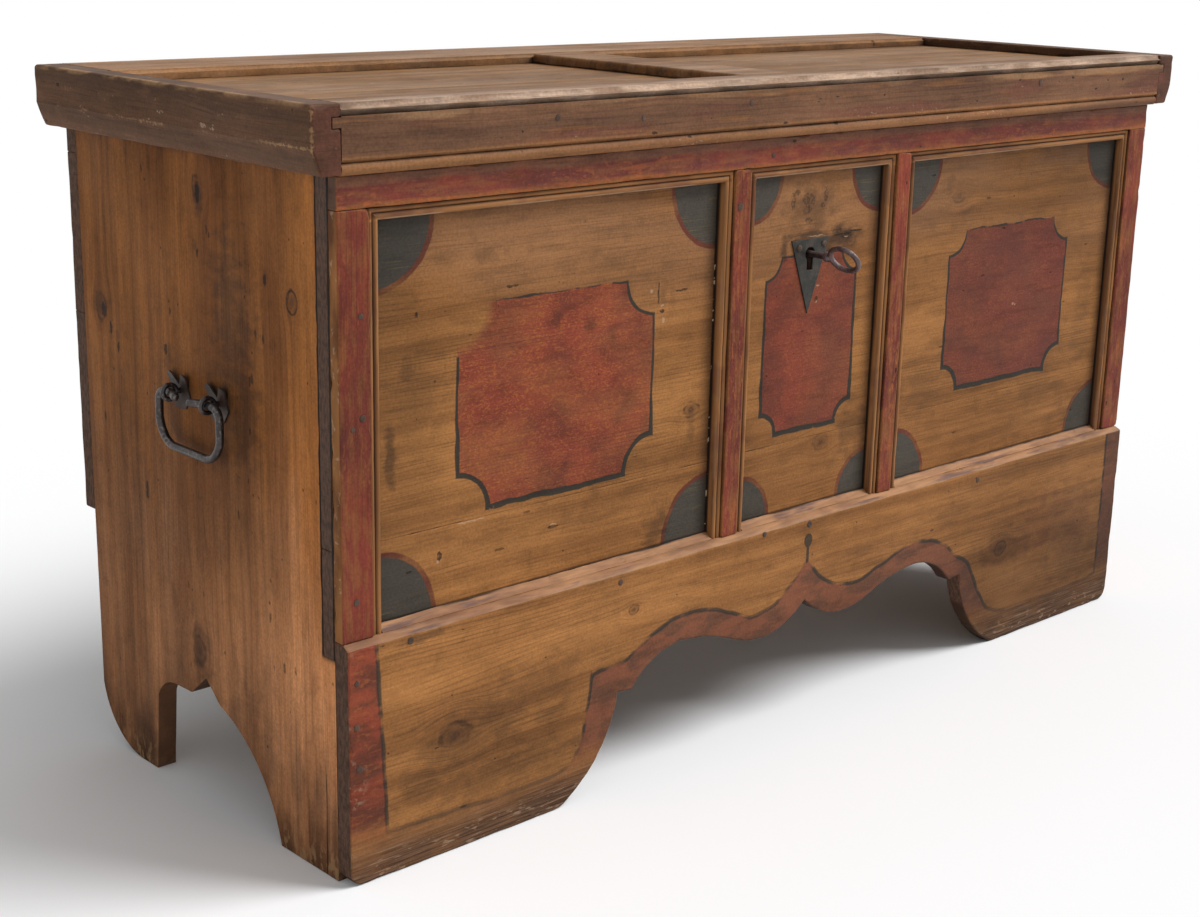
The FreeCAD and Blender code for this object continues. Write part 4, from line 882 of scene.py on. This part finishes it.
def lid_board_finish(name, seed):
    """Worn brown top board, greyed and polished by use, bare underneath."""
    p = Paint(name)
    grain = Grain(p, p.x, p.y, p.z, seed, 0.010, LID_KNOTS)
    p.colour = grain.colour(LID_PALE, LID_DARK, lines=0.22)
    p.lay(0.3, LID_BROWN)
    p.lay(spots(p, p.x, p.y, LID_STAINS, 92.0) * 0.5, CLEAT_DARK)
    dents = grain.dashes(0.05, 0.02, 0.25)
    p.lay(dents * 0.6, DIRT_AND_SHADE)
    p.lay(grain.dashes(0.03, 0.02, 0.08, 7.0) * 0.45, PALE_CHIP)
    grain.age(0.8, 0.030)
    p.lay(p.to_top.step(-0.3, -0.7), grain.colour(BARE_PALE, BARE_BROWN))
    rough = 0.50 + grain.blotch * 0.14 + grain.cloud * 0.06
    return p.finish(rough, grain.relief() - dents * 0.0005, gloss=0.16)


# Front rail of the lid: the depths between which it gets rubbed pale
RUB_START = -0.205
RUB_END = -0.242


def lid_rail_finish():
    """Rails and batten of the lid: brown, with pale rubbed arrises."""
    p = Paint("lid_rails")
    grain = Grain(p, p.x, p.y, p.z, 101.0, 0.008)
    p.colour = grain.colour(RIM_PALE, RIM_DARK)
    patch = p.noise((0.06, 0.02, 0.02), 102.0, 5.0)
    nose = p.to_back.step(-0.1, -0.5) * p.to_top.step(-0.2, 0.2)
    p.lay(nose * patch.step(0.46, 0.62) * 0.6, RAW_EDGE)
    rubbed = p.y.step(RUB_START, RUB_END) * (0.42 + 0.50 * patch.step(0.42, 0.60))
    p.lay(rubbed, p.shade(NOSE_PALE, 0.70 + grain.fibre * 0.45))
    side = abs(p.to_back).step(0.3, 0.7).highest(abs(p.to_right).step(0.3, 0.7)) * p.y.step(-0.19, -0.15)
    p.lay(side * patch.step(0.35, 0.6) * 0.55, OCHRE)
    dents = grain.dashes(0.03, 0.016, 0.28)
    p.lay(dents * 0.65, NEAR_BLACK)
    p.lay(grain.dashes(0.02, 0.012, 0.10, 4.0) * 0.4, PALE_CHIP)
    grain.age(0.8)
    relief = grain.relief() + patch * 0.0006 - dents * 0.0006
    return p.finish(0.52 + grain.blotch * 0.15, relief, gloss=0.10)


# End cleats of the lid: height of the worn arris, and chips at (Y, Z)
CLEAT_ARRIS = 0.767
CLEAT_CHIPS = ((-0.060, 0.7725, 0.006, 0.0030), (-0.078, 0.7725, 0.005, 0.003), (0.02, 0.779, 0.007, 0.0018))


def cleat_finish():
    """Dark end cleats of the lid, rubbed pale along their arrises."""
    p = Paint("lid_cleats")
    grain = Grain(p, p.y, p.z, p.x, 111.0, 0.007)
    p.colour = grain.colour(CLEAT_BROWN, CLEAT_DARK, lines=0.25)
    patch = p.noise((0.03, 0.05, 0.012), 112.0, 5.0)
    low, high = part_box("lid_cleat_left")
    p.lay(patch.step(0.52, 0.68) * 0.35, FASCIA_BROWN)
    reach = abs(low.x)
    near_top = p.z.step(high.z - 0.006, high.z - 0.001) * abs(p.x).step(reach - 0.010, reach - 0.004)
    p.lay(near_top * patch.step(0.42, 0.58) * 0.7, RAW_EDGE)
    front = p.to_back.step(-0.4, -0.8)
    p.lay(front * 0.8, p.mix(grain.cloud * 0.7, FASCIA_RED, CLEAT_DARK))
    p.lay(p.to_top.step(-0.2, -0.5) * 0.4, FASCIA_BROWN)
    ragged = p.noise(0.006, 115.0, 4.0)
    corner = (p.length(p.y - low.y, abs(p.x) - reach) + (ragged - 0.5) * 0.010).step(0.0026, 0.0008)
    p.lay(corner * 0.6, RAW_EDGE)
    sideways = abs(p.to_right).step(0.3, 0.6)
    arris = (abs(p.z - CLEAT_ARRIS) + (ragged - 0.5) * 0.010).step(0.0016, 0.0002) * sideways
    arris = arris * (p.y.step(-0.10, -0.22) * 0.7 + patch.step(0.52, 0.64) * 0.5)
    p.lay(arris, RAW_EDGE)
    crumbs = ragged.step(0.62, 0.68) * patch.step(0.56, 0.66)
    crumbs = crumbs.highest(marks(p, p.y, p.z, CLEAT_CHIPS, 114.0) * ragged.step(0.46, 0.56))
    p.lay(crumbs * 0.6, PALE_CHIP)
    dents = grain.dashes(0.025, 0.016, 0.35)
    p.lay(dents * 0.7, NEAR_BLACK)
    grain.age()
    relief = grain.relief() * 1.3 + patch * 0.0006 - dents * 0.0006
    return p.finish(0.54 + grain.blotch * 0.12, relief)


def fascia_finish():
    """Front of the lid: brown with the dull remains of red paint, and an ochre bead below."""
    p = Paint("lid_fascia")
    grain = Grain(p, p.x, p.z, p.y, 121.0, 0.007)
    p.colour = grain.colour(FASCIA_BROWN, FASCIA_DARK)
    patch = p.noise((0.16, 0.05, 0.03), 122.0, 5.0)
    p.lay(patch.step(0.46, 0.64) * 0.55, FASCIA_RED)
    rub = p.noise((0.10, 0.03, 0.008), 123.0, 4.0)
    p.lay(rub.step(0.58, 0.70) * 0.4, OCHRE)
    low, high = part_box("lid_fascia")
    bead = p.z.step(low.z + 0.019, low.z + 0.016)
    p.lay(bead * 0.7, p.mix(grain.streak, MOULDING_BROWN, MOULDING_DARK))
    dents = grain.dashes(0.03, 0.014, 0.32).highest(grain.dashes(0.012, 0.012, 0.10, 6.0))
    p.lay(dents * 0.75, NEAR_BLACK)
    crumbs = p.noise((0.006, 0.006, 0.005), 124.0, 3.0).step(0.62, 0.70) * patch.step(0.56, 0.66)
    p.lay(crumbs * 0.6, PALE_CHIP)
    scratch, chance = p.cells((0.02, 0.02, 0.07), 125.0)
    scratched = p.noise(0.03, 126.0, 3.0).step(0.45, 0.55)
    p.lay(scratch.step(0.06, 0.02) * chance.step(0.62, 0.64) * scratched * 0.5, PALE_CHIP)
    worn_top = (p.z + (rub - 0.5) * 0.012).step(high.z - 0.009, high.z - 0.004)
    p.lay(worn_top * patch.step(0.40, 0.58) * 0.5, RAW_EDGE)
    grain.age(0.85, 0.014)
    return p.finish(0.50 + grain.blotch * 0.12, grain.relief() + patch * 0.0004 - dents * 0.0006)


# Back and bottom boards: knots at (X, Z)
BARE_KNOTS = ((-0.35, 0.42, 0.014), (0.22, 0.60, 0.012), (0.48, 0.38, 0.015))


def bare_finish(name, seed):
    """Bare, aged softwood of a board of the back or the bottom."""
    p = Paint(name)
    grain = Grain(p, p.x, p.z, p.y, seed, 0.012, BARE_KNOTS)
    p.colour = grain.colour(BACK_PALE, BACK_BROWN, lines=0.35)
    dirt = p.noise((0.50, 0.05, 0.06), seed + 1, 6.0).step(0.44, 0.66)
    p.lay(dirt * 0.30, DIRT_AND_SHADE)
    dents = grain.dashes(0.05, 0.02, 0.30)
    p.lay(dents * 0.7, NEAR_BLACK)
    end_grain(p, p.to_right, seed + 2)
    return p.finish(0.62 + grain.blotch * 0.1, grain.relief() * 1.5 - dents * 0.0007)


def iron_finish(name, seed, bright, rust, tint=IRON, pits=1.0, rough=0.38, metal=0.55):
    """Forged iron: dark scale, rubbed bright on high spots, with rust in the hollows."""
    p = Paint(name)
    pitted = p.noise(0.004, seed, 5.0)
    broad = p.noise(0.014, seed + 1, 4.0)
    p.colour = p.mix(broad.step(0.38, 0.62), p.shade(tint, 0.62), tint)
    p.lay(broad.step(0.52, 0.66) * rust, RUST)
    p.lay(pitted.step(0.52, 0.68) * bright, IRON_BRIGHT)
    p.lay(p.crevice(0.010).step(0.3, 0.9) * 0.7, NEAR_BLACK)
    relief = (pitted * 0.0003 + broad * 0.0006) * pits
    return p.finish(rough + pitted * 0.25, relief, metal, gloss=metal * 0.9)


# Worn pieces: angles that tell arrises, seams and flat faces apart
WELD = 1e-6
FLAT_ANGLE = math.radians(0.8)
ARRIS_ANGLE = math.radians(30)
SMOOTH_ANGLE = math.radians(14)
BEAD_ANGLE = math.radians(48)
LEAST_RUB = 0.25
MOST_RUB = 2.6
CHIP_START = 0.32
CHIP_SHIFT = Vector((9.0, 4.0, 2.0))


def divide(edge, step):
    """Splits a straight edge into even stretches without cutting its faces."""
    start, far = edge.verts
    count = max(1, round(edge.calc_length() / step))
    while count > 1:
        made, middle = bmesh.utils.edge_split(edge, start, 1 / count)
        edge = made if far in made.verts else edge
        start = middle
        count -= 1


def arrises(bm):
    """The outward edges of a solid."""
    return [
        edge for edge in bm.edges
        if len(edge.link_faces) == 2 and edge.calc_face_angle_signed() > ARRIS_ANGLE
    ]


def placed(name, data):
    """A new object of the scene."""
    thing = bpy.data.objects.new(name, data)
    bpy.context.scene.collection.objects.link(thing)
    return thing


def dressed(name, bm, body, material, smooth=SMOOTH_ANGLE):
    """A finished piece from a mesh in the making, riding on its body."""
    mesh = bpy.data.meshes.new(name)
    bm.normal_update()
    bm.to_mesh(mesh)
    bm.free()
    mesh.shade_smooth()
    mesh.set_sharp_from_angle(angle=smooth)
    mesh.materials.append(material)
    piece = placed(name, mesh)
    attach(piece, body)
    return piece


def stand_in(node, state, bm, material, smooth=SMOOTH_ANGLE):
    """A finished piece in the place of a node."""
    piece = dressed(f"{node}_{state}", bm, NODES[node]["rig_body"], material, smooth)
    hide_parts(node)


def copy_of(node):
    """A node's mesh with its seams welded."""
    bm = bmesh.new()
    bm.from_mesh(NODES[node].data)
    bmesh.ops.remove_doubles(bm, verts=bm.verts, dist=WELD)
    return bm


def worn(node, material, width, stretch=0.010):
    """Stands for a node with a copy whose arrises are rounded unevenly and chipped."""
    bm = copy_of(node)
    bmesh.ops.dissolve_limit(bm, angle_limit=FLAT_ANGLE, verts=bm.verts, edges=bm.edges)
    for edge in arrises(bm):
        divide(edge, stretch)
    edges = arrises(bm)
    corners = {vert for edge in edges for vert in edge.verts}
    tree = kdtree.KDTree(len(corners))
    for place, vert in enumerate(sorted(corners, key=lambda vert: vert.index)):
        tree.insert(vert.co, place)
    tree.balance()
    made = bmesh.ops.bevel(bm, geom=edges, offset=width, offset_type="OFFSET", segments=2, profile=0.5,
                           affect="EDGES", clamp_overlap=True)
    for vert in made["verts"]:
        base = tree.find(vert.co)[0]
        rub = 0.9 + 0.8 * noise.noise(base * 28) + 0.5 * noise.noise(base * 110)
        chip = max(0.0, noise.noise(base * 70 + CHIP_SHIFT) - CHIP_START) * 5.0
        vert.co = base + (vert.co - base) * min(MOST_RUB, max(LEAST_RUB, rub + chip))
    stand_in(node, "worn", bm, material)


def forged(node, material, dent=0.0003, size=0.011):
    """Stands for an iron node with a copy whose surface is uneven from the hammer."""
    bm = copy_of(node)
    bm.normal_update()
    for vert in bm.verts:
        push = noise.noise(vert.co / size) + 0.5 * noise.noise(vert.co / size * 2.7)
        vert.co += vert.normal * push * dent
    stand_in(node, "forged", bm, material)


def loft(bm, rows):
    """Adds a closed bar through rows of points, one row at each station along it."""
    rings = [[bm.verts.new(point) for point in row] for row in rows]
    for lower, upper in zip(rings, rings[1:]):
        for first in range(len(lower)):
            second = (first + 1) % len(lower)
            bm.faces.new((lower[first], lower[second], upper[second], upper[first]))
    bm.faces.new(reversed(rings[0]))
    bm.faces.new(rings[-1])
    bmesh.ops.recalc_face_normals(bm, faces=bm.faces)
    return bm


# Section of a panel moulding: shares of its width from the frame and of its rise from the panel
MOULDING_SHARES = (
    (0.0, -0.03), (0.0, 0.78), (0.05, 0.91), (0.14, 0.99), (0.24, 0.99), (0.34, 0.92), (0.41, 0.82),
    (QUIRK_SHARE, 0.74), (0.51, 0.82), (0.58, 0.93), (0.68, 0.99), (0.80, 0.98), (0.90, 0.90), (0.97, 0.76),
    (1.0, 0.58), (1.0, -0.03),
)
STATION = 0.010
TO_FRONT = Vector((0.0, -1.0, 0.0))
TO_RIGHT = Vector((1.0, 0.0, 0.0))
UP = Vector((0.0, 0.0, 1.0))


def moulding(node, corner, along, inwards, length, mitres, material):
    """Stands for a panel moulding with a double bead; its ends lean by the mitres."""
    count = round(length / STATION)
    rows = []
    for station in range(count + 1):
        row = []
        for inset_share, rise_share in MOULDING_SHARES:
            inset = inset_share * MOULDING_WIDTH
            start = mitres[0] * inset
            end = length - mitres[1] * inset
            place = corner + along * (start + (end - start) * station / count) + inwards * inset
            rub = 1 - 0.05 * abs(noise.noise(place * 30)) - 0.10 * max(0.0, noise.noise(place * 75) - 0.25)
            row.append(place + TO_FRONT * (rise_share * MOULDING_RISE * rub))
        rows.append(row)
    stand_in(node, "worn", loft(bmesh.new(), rows), material, BEAD_ANGLE)


def panel_mouldings(panel, material):
    """The two upright mouldings of a panel and the one across its top."""
    left = Vector((panel.outer_left, FRONT_FACE, LEDGE))
    right = Vector((panel.outer_right, FRONT_FACE, LEDGE))
    top = Vector((panel.outer_left, FRONT_FACE, RAIL_FOOT))
    height, width = RAIL_FOOT - LEDGE, panel.outer_right - panel.outer_left
    moulding(f"moulding_{panel.name}_left", left, UP, TO_RIGHT, height, (0, 1), material)
    moulding(f"moulding_{panel.name}_right", right, UP, -TO_RIGHT, height, (0, 1), material)
    moulding(f"moulding_{panel.name}_top", top, TO_RIGHT, -UP, width, (1, 1), material)


# Section of a ledge fillet: shares of its depth from the front and of its rise from the ledge
FILLET_DEPTH = 0.0105
FILLET_SHARES = ((0.0, -0.05), (0.0, 0.10), (0.30, 0.30), (0.65, 0.66), (1.02, 1.0), (1.02, -0.05))


def ledge_fillet(panel, material):
    """A worn sloping strip in the corner between the ledge and a panel."""
    width = panel.right - panel.left
    count = round(width / STATION)
    rows = []
    for station in range(count + 1):
        x = panel.left + width * station / count
        row = []
        for depth_share, rise_share in FILLET_SHARES:
            place = Vector((x, FRONT_FACE - FILLET_DEPTH * (1 - depth_share), LEDGE))
            uneven = 1 + 0.16 * noise.noise(place * 22) + 0.10 * noise.noise(place * 90)
            place.z += rise_share * FILLET_RISE * uneven
            row.append(place)
        rows.append(row)
    bar = loft(bmesh.new(), rows)
    dressed(f"ledge_fillet_{panel.name}", bar, "carcase", material, BEAD_ANGLE)


# Rose plates: how far above the middle their lobes bend, and how far they lean
LOBE_RISE = 0.005
LOBE_LEAN = 0.38


def bent(node, material):
    """Stands for the rose plates with a copy whose lobes lean outwards."""
    bm = copy_of(node)
    low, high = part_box(node)
    fold = (low.z + high.z) / 2 + LOBE_RISE
    outwards = math.copysign(1.0, low.x)
    everything = bm.verts[:] + bm.edges[:] + bm.faces[:]
    bmesh.ops.bisect_plane(bm, geom=everything, plane_co=UP * fold, plane_no=UP)
    for vert in bm.verts:
        uneven = 1 + 0.5 * noise.noise(vert.co * 60)
        vert.co.x += outwards * max(0.0, vert.co.z - fold) * LOBE_LEAN * uneven
    stand_in(node, "bent", bm, material)


# Nails: places at (X, Z) on flat fronts, and rings of a head as shares of its radius and its rise
FRAME_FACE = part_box("frame_stile_left")[0].y
FASCIA_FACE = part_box("lid_fascia")[0].y
PLATE_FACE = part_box("escutcheon")[0].y
FRAME_NAILS = (
    (-0.673, 0.602), (-0.672, 0.500), (-0.684, 0.490), (-0.682, 0.310), (-0.0875, 0.719), (-0.140, 0.664),
)
APRON_NAILS = (
    (-0.689, 0.227), (-0.690, 0.179), (-0.687, 0.132), (-0.6205, 0.2566), (-0.322, 0.253), (-0.081, 0.2605),
    (0.350, 0.250), (0.002, 0.257),
)
FASCIA_NAILS = ((-0.432, 0.781), (-0.310, 0.774), (-0.142, 0.782), (0.415, 0.782))
PLATE_NAILS = ((-0.0204, 0.6027), (0.0241, 0.6044))
NAIL_RADIUS = 0.0040
NAIL_RISE = 0.0010
PLATE_NAIL_RADIUS = 0.0046
PLATE_NAIL_RISE = 0.0018
HEAD_SHARES = ((1.0, -0.25), (0.92, 0.55), (0.55, 1.0))
HEAD_SIDES = 8


def nail_head(place, radius, rise, seed):
    """Rings of one hammered nail head: an uneven dome on a flat front."""
    first = TO_FRONT.orthogonal().normalized()
    second = TO_FRONT.cross(first)
    rings = []
    for radius_share, rise_share in HEAD_SHARES:
        ring = []
        for side in range(HEAD_SIDES):
            angle = 2 * math.pi * (side + 0.3 * noise.noise((seed, side * 1.7, 3.0))) / HEAD_SIDES
            reach = radius * radius_share * (1 + 0.22 * noise.noise((seed * 2.3, side * 0.9, 7.0)))
            lift = rise * rise_share * (1 + 0.3 * noise.noise((seed, side * 2.1, 11.0)))
            flat = first * math.cos(angle) * reach + second * math.sin(angle) * reach
            ring.append(place + flat + TO_FRONT * lift)
        rings.append(ring)
    return rings


def nails(name, body, places, face, material, radius=NAIL_RADIUS, rise=NAIL_RISE):
    """One piece for the nails in a flat front, with heads of uneven sizes."""
    bm = bmesh.new()
    for count, (x, z) in enumerate(places):
        share = 1 + 0.45 * noise.noise((x * 90, z * 90, 5.0))
        loft(bm, nail_head(Vector((x, face, z)), radius * share, rise * share, count + 1.0))
    dressed(name, bm, body, material)


# Widths of the worn arrises, and the stretches along them that wear alike
FRONT_WEAR = 0.0010
LID_BOARD_WEAR = 0.0012
RAIL_WEAR = 0.0014
STILE_WEAR = 0.0016
BARE_WEAR = 0.0018
SIDE_WEAR = 0.0020
APRON_WEAR = 0.0022
LID_RIM_WEAR = 0.0024
IRON_WEAR = 0.0003
IRON_STRETCH = 0.006
SHORT_STRETCH = 0.008
LONG_STRETCH = 0.014


def dress_boards(apron):
    """Finishes of the box's boards: front, apron, sides, back and bottom."""
    front = front_paint()
    for node in ("front_board_lower", "front_board_upper"):
        worn(node, front, FRONT_WEAR)
    worn("apron_board", apron, APRON_WEAR, SHORT_STRETCH)
    sides = side_finish()
    for node in ("side_board_left", "side_board_right"):
        worn(node, sides, SIDE_WEAR)
    bare_nodes = sorted(name for name in NODES if name.startswith(("back_board", "floor_board")))
    for count, node in enumerate(bare_nodes):
        bare = bare_finish(f"{node}_wood", 231.0 + 13 * count)
        worn(node, bare, BARE_WEAR, LONG_STRETCH)


def dress_frame(apron):
    """Finishes of the front's frame, its mouldings and the strips below them."""
    rail = red_member("rail_paint", 141.0, upright=False, purple=0.9, level=1.12, wear=0.55)
    worn("frame_top_rail", rail, RAIL_WEAR)
    left_stile = red_member("left_stile_paint", 151.0, upright=True, purple=0.35, level=0.88)
    worn("frame_stile_left", left_stile, STILE_WEAR)
    right_stile = red_member("right_stile_paint", 161.0, upright=True, purple=0.05, level=1.02)
    worn("frame_stile_right", right_stile, STILE_WEAR)
    muntin = red_member("muntin_paint", 171.0, upright=True, purple=0.1, level=1.2)
    for node in ("frame_muntin_left", "frame_muntin_right"):
        worn(node, muntin, STILE_WEAR)
    beads = moulding_finish()
    for panel in PANELS:
        panel_mouldings(panel, beads)
        ledge_fillet(panel, apron)


def dress_lid():
    """Finishes of the lid."""
    for count, place in enumerate(("front", "middle", "rear")):
        finish = lid_board_finish(f"lid_{place}_wood", 91.0 + 17 * count)
        worn(f"lid_board_{place}", finish, LID_BOARD_WEAR)
    rails = lid_rail_finish()
    worn("lid_front_rail", rails, LID_RIM_WEAR, SHORT_STRETCH)
    worn("lid_back_rail", rails, LID_RIM_WEAR)
    worn("lid_batten", rails, SIDE_WEAR)
    cleats = cleat_finish()
    for node in ("lid_cleat_left", "lid_cleat_right"):
        worn(node, cleats, LID_RIM_WEAR, SHORT_STRETCH)
    worn("lid_fascia", fascia_finish(), RAIL_WEAR)


def dress_iron():
    """Finishes of the lock, the hinges and the handles."""
    dark = iron_finish("iron_dark", 181.0, bright=0.25, rust=0.35)
    rusty = iron_finish("iron_rusty", 211.0, bright=0.06, rust=0.6, tint=IRON_RUSTY)
    plate = iron_finish("iron_plate", 185.0, bright=0.10, rust=0.25, tint=IRON_PLATE, pits=0.5)
    handled = iron_finish("iron_handled", 191.0, bright=0.5, rust=0.10, tint=IRON_HANDLED, pits=0.5,
                          rough=0.20, metal=0.7)
    key_iron = iron_finish("iron_key", 201.0, bright=0.6, rust=0.30, tint=IRON_KEY, pits=0.4)
    for node in ("handle_bail_left", "handle_bail_right", "handle_eyes_left", "handle_eyes_right"):
        forged(node, handled)
    forged("key", key_iron, dent=0.00015, size=0.008)
    for node in ("lid_hasp", "hinge_pins"):
        forged(node, dark, dent=0.0002)
    for node in ("handle_roses_left", "handle_roses_right"):
        bent(node, rusty)
    worn("escutcheon", plate, IRON_WEAR, IRON_STRETCH)
    lock = ("lock_plate", "lock_bolt", "bolt_keepers", "key_bridge")
    hinges = ("hinge_leaf_left", "hinge_leaf_right", "hinge_strap_left", "hinge_strap_right")
    for node in lock + hinges:
        worn(node, dark, IRON_WEAR, IRON_STRETCH)


def drive_nails():
    """Nail heads of the frame, the apron, the escutcheon and the lid's front."""
    iron = iron_finish("iron_nails", 221.0, bright=0.20, rust=0.7, tint=IRON_NAIL, rough=0.5, metal=0.2)
    nails("frame_nails", "carcase", FRAME_NAILS, FRAME_FACE, iron)
    nails("apron_nails", "carcase", APRON_NAILS, APRON_LOW.y, iron)
    nails("plate_nails", "carcase", PLATE_NAILS, PLATE_FACE, iron, PLATE_NAIL_RADIUS, PLATE_NAIL_RISE)
    nails("fascia_nails", "lid", FASCIA_NAILS, FASCIA_FACE, iron)


def seen(nodes):
    """1 for what the camera sees straight, mirrored or through glass; 0 for light on its way."""
    straight = nodes.node("LightPath", {}, "Is Camera Ray")
    return straight.highest(straight.beside("Is Glossy Ray")).highest(straight.beside("Is Transmission Ray"))


def floor_finish():
    """Pale floor that takes the shadow and fades to plain white far from the object."""
    p = Paint("studio_floor")
    far = p.length(p.x * FADE_WIDEN, p.y).step(FADE_START, FADE_END)
    shadowed = p.node("BsdfDiffuse", {"Color": FLOOR_COLOUR})
    white = p.node("Emission", {})
    return p.surface(p.node("MixShader", {0: seen(p) * far, 1: shadowed, 2: white}))


def lay_floor():
    """Wide floor just below the feet."""
    bm = bmesh.new()
    bmesh.ops.create_grid(bm, x_segments=1, y_segments=1, size=FLOOR_HALF)
    mesh = bpy.data.meshes.new("floor")
    bm.to_mesh(mesh)
    bm.free()
    mesh.materials.append(floor_finish())
    floor = placed("floor", mesh)
    floor.location.z = -FLOOR_DROP


def hang_key():
    """One wide soft key light."""
    lamp = bpy.data.lights.new("key_lamp", "SUN")
    lamp.angle = KEY_SPREAD
    lamp.energy = KEY_STRENGTH
    key = placed("key_lamp", lamp)
    key.location = KEY_FROM
    key.rotation_euler = (-Vector(KEY_FROM)).to_track_quat("-Z", "Y").to_euler()


def make_sky():
    """Sky that is white to the eye and, as a light, soft all round but dim straight behind."""
    world = bpy.data.worlds.new("studio")
    world.use_nodes = True
    bpy.context.scene.world = world
    nodes = Nodes(world.node_tree)
    to_back = nodes.split(nodes.node("TexCoord", {}, "Generated"))[1]
    behind = to_back.step(SKY_DIM_START, SKY_DIM_END, "LINEAR")
    light = behind * (SKY_BEHIND - SKY_LEVEL) + SKY_LEVEL
    background = nodes.tree.nodes["Background"]
    background.inputs["Color"].default_value = (1.0, 1.0, 1.0, 1.0)
    nodes.feed(background.inputs["Strength"], seen(nodes) * (1 - light) + light)


def set_camera():
    """The photograph's camera."""
    lens = bpy.data.cameras.new("photo_camera")
    lens.sensor_fit = "HORIZONTAL"
    lens.sensor_width = SENSOR_WIDTH_MM
    lens.lens = LENS_MM
    camera = placed("photo_camera", lens)
    right, down, forward = Vector(CAMERA_RIGHT), Vector(CAMERA_DOWN), Vector(CAMERA_FORWARD)
    axes = Matrix((right, -down, -forward)).transposed().to_4x4()
    camera.matrix_world = Matrix.Translation(CAMERA_EYE) @ axes
    bpy.context.scene.camera = camera
    bpy.context.scene.view_settings.view_transform = "Standard"


# The chest in its studio
APRON_PAINT = apron_paint()
dress_iron()
dress_boards(APRON_PAINT)
dress_frame(APRON_PAINT)
dress_lid()
drive_nails()
lay_floor()
hang_key()
make_sky()
set_camera()

bpy.context.view_layer.update()
